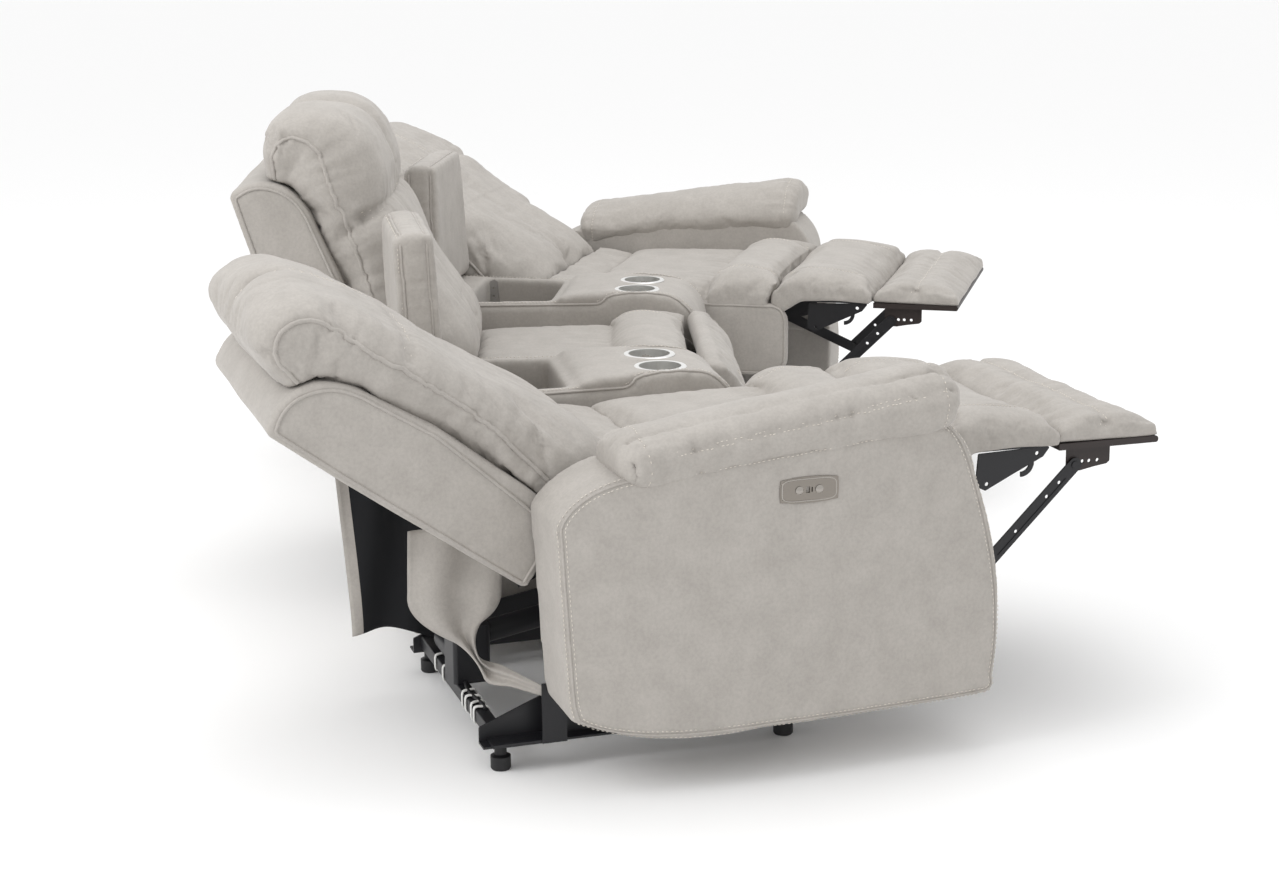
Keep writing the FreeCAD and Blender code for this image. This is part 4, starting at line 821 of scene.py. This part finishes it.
def back_cushion_mesh(front, channel, depth):
    """Back cushion with its head and lumbar rolls, a channel between its lobes."""
    half = bpy.context.scene.sofa_back.half
    sections = sections_across(lambda u: back_section(u, half, front, channel), half)
    mesh = stuffed(
        "back", loft("back", sections), 0.02, 0.035,
        lambda p: p[1] > 0.324 + 0.449 * (p[2] - 0.432), (0.0035, 0.11), 2,
    )
    raised = above_deck(front)
    waist, crease = Vector(raised[WAIST - 1][-1]), Vector(raised[CREASE - 1][-1])
    side_crease = Vector(above_deck(GUSSET)[CREASE - 1][-1])
    head = across(lambda u: side_crease.lerp(crease, fullness(u, half, 90)), half - 10)
    lumbar = across(lambda u: (waist.x + 60 * (1 - fullness(u, half, 90)), waist.y), half - 26)
    groove = above_deck(channel)
    split = path_at(0, [groove[CREASE - 1][-1], *groove[CREASE:CREASE + 3]])
    lower_split = path_at(0, [groove[WAIST - 2][-1], *groove[WAIST - 1:CREASE]])
    sides = [path_at(s * (half - 1), above_deck(GUSSET)[:9]) for s in (-1, 1)]
    sewn(mesh, head, depth, 0.013, puff=0.005, reach=0.04, gather=0.007, seed=3)
    sewn(mesh, split, depth * 0.75, 0.011, puff=0.003, gather=0.003, pitch=0.018, spread=0.03,
         seed=5)
    sewn(mesh, lower_split, depth * 0.3, 0.012, puff=0.002, gather=0.003, spread=0.03, seed=7)
    sewn(mesh, lumbar, 0.003, 0.014, gather=0.007, pitch=0.03, spread=0.06, seed=9)
    for number, side in enumerate(sides):
        sewn(mesh, side, 0.003, 0.007, gather=0.0045, pitch=0.016, spread=0.045, seed=11 + number)
    cover = MATERIALS["cover"]
    parts = [(mesh, cover)] + [(piping(mesh, side), cover) for side in sides]
    return joined("back_cushion", parts + stitched(mesh, (head, split), 0.007))


def shell_mesh(seat):
    """Upholstered shell of a back with piped edges."""
    mesh = softened(f"back_shell_{seat}", seat_space(seat, "back"), 4)
    rumpled(mesh, 0.002, 0.14, 4)
    return welted("back_shell", mesh, 300, [
        (372, 424),
        ("line", (430, 690)),
        ("line", (484, 822)),
        ("arc", (506, 858), (534, 880)),
        ("arc", (580, 893), (622, 879)),
        ("arc", (630, 872), (628, 860)),
        ("line", (592, 742)),
        ("line", (474, 388)),
        ("line", (372, 424)),
    ])


class SOFA_OT_backs(bpy.types.Operator):
    """Pads the three backs and covers their shells"""

    bl_idname = "sofa.backs"
    bl_label = "Backs"

    def execute(self, context):
        upright = back_cushion_mesh(UPRIGHT_FRONT, CHANNEL, 0.016)
        shallow = mixed(RELAXED_FRONT, GUSSET, 0.15)
        relaxed = back_cushion_mesh(RELAXED_FRONT, shallow, 0.012)
        shell = shell_mesh("middle")
        for seat in SEATS:
            cushion = upright if seat == "middle" else relaxed
            space = seat_space(seat, "back")
            body = f"back_{seat}"
            dress(f"back_cushion_{seat}", cushion, space, body)
            dress(f"back_shell_{seat}", shell, space, body)
        return {"FINISHED"}


# Seat.


# Side distances of the two stitched lines that run from a seat's bolster to its footrest, mm.
STITCHED_LINES = (-214, 214)


def sewn_lines(mesh, lines):
    """Parts of double stitched lines, each drawn into the cover before its stitches."""
    parts = []
    for line in lines:
        sewn(mesh, line, 0.004, 0.006, puff=0.002, reach=0.02)
        parts += stitched(mesh, (line,), 0.005)
    return parts


SEAT_HALF = 300


def seat_section(u):
    """Seat cushion outline at a side distance, (v, z)."""
    full = fullness(u, SEAT_HALF, 110)
    top = 478 - 26 * (1 - full)
    crown = 514 - 34 * (1 - full)
    return [
        (176, 440),
        ("line", (176, top - 16)),
        ("arc", (174, top - 3), (154, top)),
        ("arc", (20, top + 5 * full), (-126, top)),
        ("arc", (-138, top - 2), (-142, top - 12)),
        ("arc", (-186, crown - 2), (-255, crown)),
        ("arc", (-296, crown - 3), (-322, 509)),
        ("arc", (-300, 468), (-306, 440)),
    ]


def seat_mesh():
    """Seat cushion with a cross seam, a front bolster and two stitched lines on it."""
    mesh = loft("seat", sections_across(seat_section, SEAT_HALF))
    mesh = stuffed("seat", mesh, 0.014, 0.03, lambda p: p[2] < 0.455, (0.003, 0.12), 6)
    seam = across(
        lambda u: (-141, 470 - 20 * (1 - fullness(u, SEAT_HALF, 110))), SEAT_HALF - 4
    )
    sewn(mesh, seam, 0.010, 0.009, puff=0.003, reach=0.04, gather=0.005, pitch=0.024, seed=15)
    lines = [[Vector((u, v, 520)) * MM for v in range(-318, -146, 8)] for u in STITCHED_LINES]
    return joined("seat_cushion", [(mesh, MATERIALS["cover"])] + sewn_lines(mesh, lines))


def seat_panels_mesh():
    """Padded side panels of a seat with their deck."""
    mesh = softened("seat_box_middle", seat_space("middle", "carriage"), 4)
    return welted("seat_box", mesh, 302, [
        (292, 448),
        ("line", (-300, 448)),
        ("arc", (-334, 440), (-345, 405)),
        ("line", (-345, 330)),
        ("arc", (-334, 292), (-300, 282)),
        ("line", (292, 282)),
    ])


SKIRT_HALF = 262
SKIRT_OPEN = [
    (166, 440),
    ("line", (166, 470)),
    ("arc", (215, 482), (264, 486)),
    ("line", (266, 452)),
    ("arc", (215, 446), (166, 440)),
]
SKIRT_SHUT = [
    (164, 434),
    ("line", (164, 462)),
    ("arc", (186, 462), (206, 450)),
    ("line", (206, 424)),
    ("arc", (184, 428), (164, 434)),
]


def skirt(seat):
    """Padded strip that joins the seat's rear edge to the back's foot, open for a reclined seat and
    shut for an upright one.
    """
    reclined = share_of(seat) > 0
    steps = SKIRT_OPEN if reclined else SKIRT_SHUT
    points = outline_points(steps, step_counts(steps, 8))[:-1]
    stations = [(u, points) for u in range(-SKIRT_HALF, SKIRT_HALF + 1, 12)]
    mesh = remeshed("skirt", loft("skirt", stations), 0.006, 2)
    rumpled(mesh, 0.004, 0.035, 22)
    mesh = joined("back_skirt", [(mesh, MATERIALS["cover"])])
    space = seat_space(seat, "carriage")
    mesh.transform(space)
    obj = new_object(f"back_skirt_{seat}.soft", mesh)
    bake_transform(obj)


class SOFA_OT_seats(bpy.types.Operator):
    """Pads the three seat cushions and their side panels"""

    bl_idname = "sofa.seats"
    bl_label = "Seats"

    def execute(self, context):
        cushion = seat_mesh()
        panels = seat_panels_mesh()
        for seat in SEATS:
            space = seat_space(seat, "carriage")
            body = f"carriage_{seat}"
            dress(f"seat_cushion_{seat}", cushion, space, body)
            dress(f"seat_box_{seat}", panels, space, body)
            skirt(seat)
        return {"FINISHED"}


# Footrest.


CHAISE_HALF = 299
FOOTREST_HALF = 286


def chaise_section(u):
    """Chaise pad outline at a side distance, (v, z)."""
    full = fullness(u, CHAISE_HALF, 100)
    y, z = KNUCKLE
    r = 57 * (0.74 + 0.26 * full)
    diagonal = r * math.sqrt(0.5)
    return [
        (y + 4, z - 20),
        ("line", (y + 30, z + 20)),
        ("arc", (y + 22, z + r - 4), (y, z + r)),
        ("arc", (y - diagonal, z + diagonal), (y - r, z)),
        ("arc", (y - r + 8 - 5 * full, z - 92), (y - 28 - 7 * full, 274)),
        ("arc", (y - 20, 268), (y, 268)),
        ("line", (y + 1, z - 30)),
    ]


def footrest_section(u):
    """Footrest pad outline at a side distance, (v, z)."""
    full = fullness(u, FOOTREST_HALF, 100)
    y, z = SEAM
    front = y - 24 - 12 * full
    end = z - 208
    middle = (z + end) / 2
    return [
        (y, z - 1),
        ("arc", (y - 12, z - 2), (y - 24, z - 7)),
        ("arc", (front - 2, z - 1 - (z - middle) / 2), (y - 24 - 9 * full, middle)),
        ("arc", (front + 2, middle - (middle - end) / 2), (y - 20, end + 4)),
        ("line", (y, end)),
    ]


def chaise_mesh():
    """Chaise pad with its low seam and the two stitched lines."""
    mesh = loft("chaise", sections_across(chaise_section, CHAISE_HALF))
    mesh = stuffed("chaise", mesh, 0.012, 0.03, lambda p: p[1] > -0.366, (0.0025, 0.1), 8)
    low = across(lambda u: (-391, 276), 290)
    sewn(mesh, low, 0.003, 0.01, puff=0.002, reach=0.02, gather=0.006, seed=21)
    lines = [[Vector((u, -420, z)) * MM for z in range(286, 500, 8)] for u in STITCHED_LINES]
    return joined("chaise_pad", [(mesh, MATERIALS["cover"])] + sewn_lines(mesh, lines))


def footrest_mesh():
    """Footrest pad with its cross seam."""
    mesh = loft("footrest", sections_across(footrest_section, FOOTREST_HALF))
    mesh = stuffed("footrest", mesh, 0.010, 0.03, lambda p: p[1] > -0.366, (0.0025, 0.1), 10)
    middle = across(lambda u: (-391, 163), 284)
    top = across(lambda u: (-382, 262), 280)
    sewn(mesh, middle, 0.010, 0.009, puff=0.003, gather=0.005, pitch=0.022, spread=0.045, seed=25)
    sewn(mesh, top, 0.002, 0.01, gather=0.005, spread=0.04, seed=27)
    return joined(
        "footrest_pad", [(mesh, MATERIALS["cover"])] + stitched(mesh, (middle,), 0.006)
    )


class SOFA_OT_footrests(bpy.types.Operator):
    """Pads the chaise and the footrest of each seat"""

    bl_idname = "sofa.footrests"
    bl_label = "Footrests"

    def execute(self, context):
        chaise = chaise_mesh()
        footrest = footrest_mesh()
        for seat in SEATS:
            for group, mesh in (("chaise", chaise), ("footrest", footrest)):
                space = seat_space(seat, group)
                dress(f"{group}_pad_{seat}", mesh, space, f"{group}_{seat}")
        return {"FINISHED"}


# Arms.


# Welt around the arm's outer face, (v, z).
ARM_WELT = [
    (214, 146),
    ("arc", (112, 112), (-110, 106)),
    ("line", (-530, 110)),
    ("arc", (-550, 118), (-549, 140)),
    ("arc", (-552, 300), (-502, 508)),
    ("arc", (-466, 588), (-430, 618)),
    ("line", (58, 566)),
    ("arc", (184, 540), (240, 482)),
    ("arc", (232, 330), (222, 175)),
    ("line", (214, 146)),
]
# The arm's swelled outer face: its furthest place, the middle of the swell, and its bow, mm.
ARM_FACE = 492
ARM_MIDDLE = -150
ARM_CHORD, ARM_BOW = 420, 28


def arm_panel_mesh(word, side):
    """Arm panel with a welt and a double row of stitches around its outer face."""
    mesh = softened(f"arm_panel_{word}", seat_space(word, "root"), 3)
    rumpled(mesh, 0.0015, 0.16, 12)
    cover = MATERIALS["cover"]
    parts = [(mesh, cover)]
    path = [Vector((side * arm_outer(p.y / MM) * MM, p.y, p.z)) for p in path_at(0, ARM_WELT)]
    sewn(mesh, path, 0.002, 0.006)
    parts.append((piping(mesh, path, 0.0022), cover))
    return joined("arm_panel", parts + stitched(mesh, (path,), 0.007))


def arm_outer(v):
    """Outer face of an arm from the seat's middle, mm."""
    radius = (ARM_CHORD ** 2 + ARM_BOW ** 2) / (2 * ARM_BOW)
    return ARM_FACE - radius + math.sqrt(radius ** 2 - (v - ARM_MIDDLE) ** 2)


PAD_REAR = 128
PAD_FRONT = -458


def pad_place(share):
    """Place along the arm pad, share 0 at its rear and 1 at its front."""
    return PAD_REAR + (PAD_FRONT - PAD_REAR) * share


def pad_top(share):
    """Height of the arm pad's top at a share of its length."""
    return 606 + 84 * share


def pad_section(share):
    """Arm pad section as (x, z), share 0 at its rear and 1 at its front."""
    top = pad_top(share)
    thick = 78 * (0.66 + 0.34 * min(1, share * 1.6))
    low = top - thick
    inner, outer = 305, 499
    roll = low - 34
    middle = (inner + outer) / 2
    return [
        (inner + 26, roll),
        ("arc", (inner + 4, roll + 4), (inner, roll + 22)),
        ("arc", (inner - 3, low + thick * 0.3), (inner + 22, top - 11)),
        ("arc", (middle, top + 6), (outer - 22, top - 12)),
        ("arc", (outer + 2, low + thick * 0.5), (outer - 10, low)),
        ("line", (outer - 30, low - 5)),
    ]


def arm_pad_mesh():
    """Left arm pad in the seat's frame, a roll with two sewn lines along its outer side."""
    counts = step_counts(pad_section(1), 9)
    sections = []
    number = 48
    for i in range(number + 1):
        share = i / number
        round_off = min(1, min(share, 1 - share) / 0.05)
        shrink = 0.70 + 0.30 * math.sqrt(1 - (1 - round_off) ** 2)
        points = outline_points(pad_section(share), counts)
        centre = sum(points, Vector((0, 0))) / len(points)
        points = [centre + (p - centre) * shrink for p in points]
        sections.append((pad_place(share), points))
    mesh = loft("arm_pad", sections)
    mesh.transform(Matrix(((0, -1, 0, 0), (1, 0, 0, 0), (0, 0, 1, 0), (0, 0, 0, 1))))
    bm = bmesh.new()
    bm.from_mesh(mesh)
    bmesh.ops.recalc_face_normals(bm, faces=bm.faces)
    bm.to_mesh(mesh)
    bm.free()
    mesh = stuffed("arm_pad", mesh, 0.010, 0.03, lambda p: p[2] < 0.52, (0.003, 0.09), 14, 0.85)
    parts = [(mesh, MATERIALS["cover"])]
    for x, drop in ((-446, 0), (-486, 22)):
        shares = [0.02 + 0.96 * i / 59 for i in range(60)]
        line = [Vector((x, pad_place(t), pad_top(t) - drop)) * MM for t in shares]
        sewn(mesh, line, 0.008, 0.0055, puff=0.004, reach=0.02, gather=0.003, spread=0.035,
             seed=31)
        parts += stitched(mesh, (line,), 0.004)
    for share, seed in ((0.05, 33), (0.95, 35)):
        section = outline_points(pad_section(share), counts)
        ring = [Vector((-p.x, pad_place(share), p.y)) * MM for p in section]
        sewn(mesh, ring, 0.003, 0.006, puff=0.002, reach=0.015, gather=0.004, pitch=0.018,
             spread=0.04, seed=seed)
        parts.append((stitches(mesh, ring, 0.004), MATERIALS["thread"]))
    return joined("arm_pad", parts)


def mirrored(mesh):
    """Copy of a mesh with left and right exchanged."""
    copy = mesh.copy()
    copy.transform(Matrix.Diagonal((-1, 1, 1, 1)))
    copy.flip_normals()
    return copy


PLATE_CENTRE = (-187, 518)


def plate_frame_mesh():
    """Raised bright rim of a control plate, on the left arm's outer face."""
    ring = []
    for turn in range(72):
        angle = math.tau * turn / 72
        squared = 1 / (abs(math.cos(angle)) ** 5 + abs(math.sin(angle)) ** 5) ** 0.2
        v = PLATE_CENTRE[0] + 49 * squared * math.cos(angle)
        z = PLATE_CENTRE[1] + 19 * squared * math.sin(angle)
        ring.append(Vector((-arm_outer(v) - 0.8, v, z)) * MM)
    return joined("plate_frame", [(tube("frame", ring, 0.0016, closed=True), MATERIALS["button"])])


class SOFA_OT_arms(bpy.types.Operator):
    """Covers the two end arms and pads their tops"""

    bl_idname = "sofa.arms"
    bl_label = "Arms"

    def execute(self, context):
        pad = arm_pad_mesh()
        frame_mesh = plate_frame_mesh()
        for word, side in ENDS:
            space = seat_space(word, "root")
            dress(f"arm_panel_{word}", arm_panel_mesh(word, side), space, "root")
            one = pad if side < 0 else mirrored(pad)
            dress(f"arm_pad_{word}", one, space, "root")
            rim = frame_mesh if side < 0 else mirrored(frame_mesh)
            add_detail(f"plate_frame_{word}", rim, space)
        return {"FINISHED"}


# Consoles.


CONSOLE_FRONT_HALF = 112.5
CONSOLE_TAPER = math.radians(8)


def console_half(y):
    """Half width of a console at a distance behind its front, mm."""
    return CONSOLE_FRONT_HALF + y * math.tan(CONSOLE_TAPER)


def console_mesh(word):
    """Console cover with a welt along the block's shoulders and the bin's rim."""
    mesh = softened(f"console_body_{word}", console_space(word), 8)
    rumpled(mesh, 0.0015, 0.12, 18)
    cover = MATERIALS["cover"]
    parts = [(mesh, cover)]
    profile = [
        (640, 530),
        ("line", (240, 530)),
        ("arc", (226, 534), (214, 546)),
        ("arc", (130, 566), (60, 550)),
        ("arc", (14, 500), (4, 436)),
        ("line", (10, 250)),
    ]
    for side in (-1, 1):
        path = [Vector((side * (console_half(p.x) - 2), p.x, p.y)) * MM
                for p in outline_points(profile, step_counts(profile, 8))]
        sewn(mesh, path, 0.003, 0.007, puff=0.0015, reach=0.02, gather=0.001, pitch=0.03,
             spread=0.03, seed=43)
        parts.append((piping(mesh, path, 0.0028), cover))
        parts.append((stitches(mesh, path, -side * 0.007), MATERIALS["thread"]))
    return joined("console_body", parts)


LID_LENGTH = 284


def lid_place(across_mm, along, deep):
    """Point of the open lid in its console's frame: along it from its pivot, and deep behind."""
    rear = along * math.sin(LID_LEAN) + deep * math.cos(LID_LEAN)
    up = along * math.cos(LID_LEAN) - deep * math.sin(LID_LEAN)
    return Vector(LID_PIVOT) + Vector((across_mm, rear, up)) * MM


def lid_mesh(word):
    """Padded lid with a boxing strip: a welt on both faces and a stitched edge."""
    mesh = softened(f"console_lid_{word}", console_space(word), 16, fine=0.8)
    rumpled(mesh, 0.002, 0.09, 16)
    cover = MATERIALS["cover"]
    parts = [(mesh, cover)]
    for deep, sunk in ((-20, 0.004), (30, 0.003)):
        ring = []
        for side, start, end in ((-1, -10, 262), (1, 262, -10)):
            for i in range(31):
                along = start + (end - start) * i / 30
                half = console_half(LID_PIVOT[1] / MM - along) - 2
                ring.append(lid_place(side * half, along, deep))
            if side < 0:
                top = console_half(LID_PIVOT[1] / MM - LID_LENGTH) - 22
                ring += [lid_place(top * (2 * i / 20 - 1), 285, deep) for i in range(21)]
        sewn(mesh, ring, sunk, 0.006, puff=0.002, reach=0.02, gather=0.0015, spread=0.03, seed=41)
        parts.append((stitches(mesh, ring, 0.006), MATERIALS["thread"]))
        parts.append((piping(mesh, ring, 0.0026), cover))
    return joined("console_lid", parts)


class SOFA_OT_consoles(bpy.types.Operator):
    """Covers the two storage consoles and their lids"""

    bl_idname = "sofa.consoles"
    bl_label = "Consoles"

    def execute(self, context):
        for word, _ in ENDS:
            space = console_space(word)
            dress(f"console_body_{word}", console_mesh(word), space, "root")
            dress(f"console_lid_{word}", lid_mesh(word), space, f"lid_{word}")
        return {"FINISHED"}


# Rear cloth.


class SOFA_OT_rear_cloth(bpy.types.Operator):
    """Hangs the cloth panels under the two reclined backs"""

    bl_idname = "sofa.rear_cloth"
    bl_label = "Rear cloth"

    def execute(self, context):
        tape = tape_mesh()
        for word, side in ENDS:
            space = seat_space(word, "root")
            add_detail(f"tape_bands_{word}", tape, space)
            for kind, place in (("flap", side), ("lining", -side)):
                obj = rear_panel(word, kind, place, space)
                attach(obj, "root")
                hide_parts(f"rear_{kind}s")
                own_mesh(obj)
        return {"FINISHED"}


# The rear bar that the lead is taped to: its middle as (v, z), and its half width, mm.
TAPE_BAR = (308, 65.5, 14.2)


def tape_mesh():
    """Turns of white tape that hold the lead on the rear bar."""
    centre_v, centre_z, half = TAPE_BAR
    bands = []
    for u, lean in ((-176, 4), (-148, -5), (-116, 6), (-84, -3), (60, 5), (130, -4)):
        ring = []
        for turn in range(24):
            angle = math.tau * turn / 24
            squared = 1 / (abs(math.cos(angle)) ** 6 + abs(math.sin(angle)) ** 6) ** (1 / 6)
            ring.append(Vector((
                u + lean * math.cos(angle), centre_v + half * squared * math.cos(angle),
                centre_z + (half + 2) * squared * math.sin(angle) + 1,
            )) * MM)
        for shift in (-2.4, 0, 2.4):
            moved = [p + Vector((shift, 0, 0)) * MM for p in ring]
            bands.append((tube("tape", moved, 0.0015, closed=True), MATERIALS["tape"]))
    return joined("tape_bands", bands)


FLAP_REAR = [
    (220, 125), ("line", (273, 136)), ("arc", (292, 134), (307, 138)),
    ("arc", (326, 180), (358, 214)), ("arc", (424, 262), (440, 309)), ("line", (437, 424)),
]
FLAP_FRONT = [
    (219, 142), ("line", (278, 167)), ("arc", (302, 172), (316, 182)),
    ("arc", (322, 216), (310, 248)), ("arc", (284, 270), (274, 300)), ("line", (272, 424)),
]
LINING_REAR = [(466, 112), ("arc", (470, 220), (486, 424))]
LINING_FRONT = [(290, 78), ("line", (290, 424))]
# Share of a flap's height that its tail takes.
TAIL_SHARE = 0.21
# Share of the lining, from its middle to its rear edge, where the light wrapped edge starts.
WRAPPED_EDGE = 0.78
# Side distance of the hanging panels, and how far a flap's tail leans out from it, mm.
PANEL_SIDE = 200
TAIL_LEAN = 76


def rear_panel(word, kind, place, space):
    """One hanging panel: rows between its front and rear edges, with a soft wave."""
    flap = kind == "flap"
    columns, rows = 26, 52
    rear_points = even(FLAP_REAR if flap else LINING_REAR, rows)
    front_points = even(FLAP_FRONT if flap else LINING_FRONT, rows)
    bm = bmesh.new()
    grid = bmesh.ops.create_grid(bm, x_segments=columns - 1, y_segments=rows - 1, size=1)
    for face in bm.faces:
        face.smooth = True
        edge = not flap and face.calc_center_median().x > WRAPPED_EDGE
        face.material_index = 1 if edge else 0
    for vert in grid["verts"]:
        share = (vert.co.x + 1) / 2
        height = (vert.co.y + 1) / 2
        row = round(height * (rows - 1))
        v, z = front_points[row].lerp(rear_points[row], share)
        wave = 7 * math.sin(3.4 * share * math.pi + z / 90)
        tail = max(0, 1 - height / TAIL_SHARE) if flap else 0
        arch = 0 if flap else 24 * math.sin(math.pi * share) * (1 - height)
        u = place * (PANEL_SIDE + TAIL_LEAN * tail) + wave * (1 - tail)
        vert.co = Vector((u, v, z + arch)) * MM
    area = sum(f.calc_area() for f in bm.faces)
    mesh = mesh_of("rear_panel", bm)
    mesh.transform(space)
    obj = new_object(f"rear_{kind}_{word}.cloth", mesh)
    outer, inner = MATERIALS["cover"], MATERIALS["lining"]
    obj.data.materials.append(outer if flap else inner)
    obj.data.materials.append(inner if flap else outer)
    thick = obj.modifiers.new("Cloth", "SOLIDIFY")
    thick.thickness = 0.0016
    thick.offset = 0
    return obj


def even(steps, count):
    """Points evenly spread along an outline."""
    points = outline_points(steps, step_counts(steps, 4))
    runs = [0.0]
    for a, b in zip(points, points[1:]):
        runs.append(runs[-1] + (b - a).length)
    out = []
    for i in range(count):
        run = runs[-1] * i / (count - 1)
        index = min(max(1, int(np.searchsorted(runs, run))), len(points) - 1)
        span = runs[index] - runs[index - 1]
        out.append(points[index - 1].lerp(points[index], (run - runs[index - 1]) / span))
    return out


# Studio.


class SOFA_OT_studio(bpy.types.Operator):
    """Sets the camera, the pale floor and the soft lights"""

    bl_idname = "sofa.studio"
    bl_label = "Studio"

    def execute(self, context):
        sizes = context.scene.sofa_studio
        yaw, pitch, roll = sizes.yaw, sizes.pitch, sizes.roll
        ahead = Vector((
            math.cos(yaw) * math.cos(pitch), math.sin(yaw) * math.cos(pitch), -math.sin(pitch)
        ))
        right = Vector((math.sin(yaw), -math.cos(yaw), 0))
        up = right.cross(ahead)
        tilted = right * math.cos(roll) + up * math.sin(roll)
        above = up * math.cos(roll) - right * math.sin(roll)
        camera = bpy.data.objects.new("Camera", bpy.data.cameras.new("Camera"))
        context.scene.collection.objects.link(camera)
        camera.data.lens = sizes.lens
        camera.data.sensor_width = 36
        turn = Matrix((tilted, above, -ahead)).transposed().to_4x4()
        camera.matrix_world = Matrix.Translation(sizes.place) @ turn
        context.scene.camera = camera
        context.scene.view_settings.view_transform = "Standard"
        self.floor(context)
        self.lights(context)
        return {"FINISHED"}

    def floor(self, context):
        """Pale floor that catches the shadows."""
        bm = bmesh.new()
        bmesh.ops.create_grid(bm, x_segments=1, y_segments=1, size=60)
        mesh = mesh_of("floor", bm)
        mesh.materials.append(plain("white_studio_floor", "fafafa", 0.9))
        new_object("floor", mesh)

    def lights(self, context):
        """White surroundings and two soft lights."""
        world = bpy.data.worlds.new("studio")
        context.scene.world = world
        world.use_nodes = True
        background = world.node_tree.nodes["Background"]
        background.inputs["Color"].default_value = (1, 1, 1, 1)
        background.inputs["Strength"].default_value = 1.0
        for name, place, aim, size, power in (
            ("top_softbox", (0.4, -0.4, 4.2), (0.0, 0.0, 0.4), 3.0, 45),
            ("rear_softbox", (-2.4, 3.2, 3.2), (0.0, 0.3, 0.6), 2.4, 60),
        ):
            light = bpy.data.lights.new(name, "AREA")
            light.energy = power
            light.size = size
            lamp = bpy.data.objects.new(name, light)
            context.scene.collection.objects.link(lamp)
            lamp.location = place
            lamp.rotation_euler = (Vector(aim) - Vector(place)).to_track_quat("-Z", "Y").to_euler()


class SOFA_PT_panel(bpy.types.Panel):
    """Buttons for each group of the sofa's pieces"""

    bl_idname = "SOFA_PT_panel"
    bl_label = "Reclining sofa"
    bl_space_type = "VIEW_3D"
    bl_region_type = "UI"
    bl_category = "Sofa"

    def draw(self, context):
        column = self.layout.column()
        for operator in OPERATORS:
            column.operator(operator.bl_idname)


OPERATORS = (
    SOFA_OT_studio, SOFA_OT_backs, SOFA_OT_seats, SOFA_OT_footrests, SOFA_OT_arms,
    SOFA_OT_consoles, SOFA_OT_rear_cloth,
)
GROUPS = {
    "sofa_seat": SeatSizes, "sofa_cloth": ClothSizes, "sofa_studio": StudioSizes,
    "sofa_back": SofaBackSizes,
}


def register():
    """Adds the property groups, the operators and the panel."""
    for name, group in GROUPS.items():
        bpy.utils.register_class(group)
        setattr(bpy.types.Scene, name, PointerProperty(type=group))
    for operator in OPERATORS:
        bpy.utils.register_class(operator)
    bpy.utils.register_class(SOFA_PT_panel)


def unregister():
    """Removes what register added."""
    bpy.utils.unregister_class(SOFA_PT_panel)
    for operator in reversed(OPERATORS):
        bpy.utils.unregister_class(operator)
    for name, group in reversed(GROUPS.items()):
        delattr(bpy.types.Scene, name)
        bpy.utils.unregister_class(group)


def main():
    """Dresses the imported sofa."""
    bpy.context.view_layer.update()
    register()
    make_materials()
    finish_nodes()
    bpy.ops.sofa.studio()
    bpy.ops.sofa.backs()
    bpy.ops.sofa.seats()
    bpy.ops.sofa.footrests()
    bpy.ops.sofa.arms()
    bpy.ops.sofa.consoles()
    bpy.ops.sofa.rear_cloth()


if __name__ == "__main__":
    main()
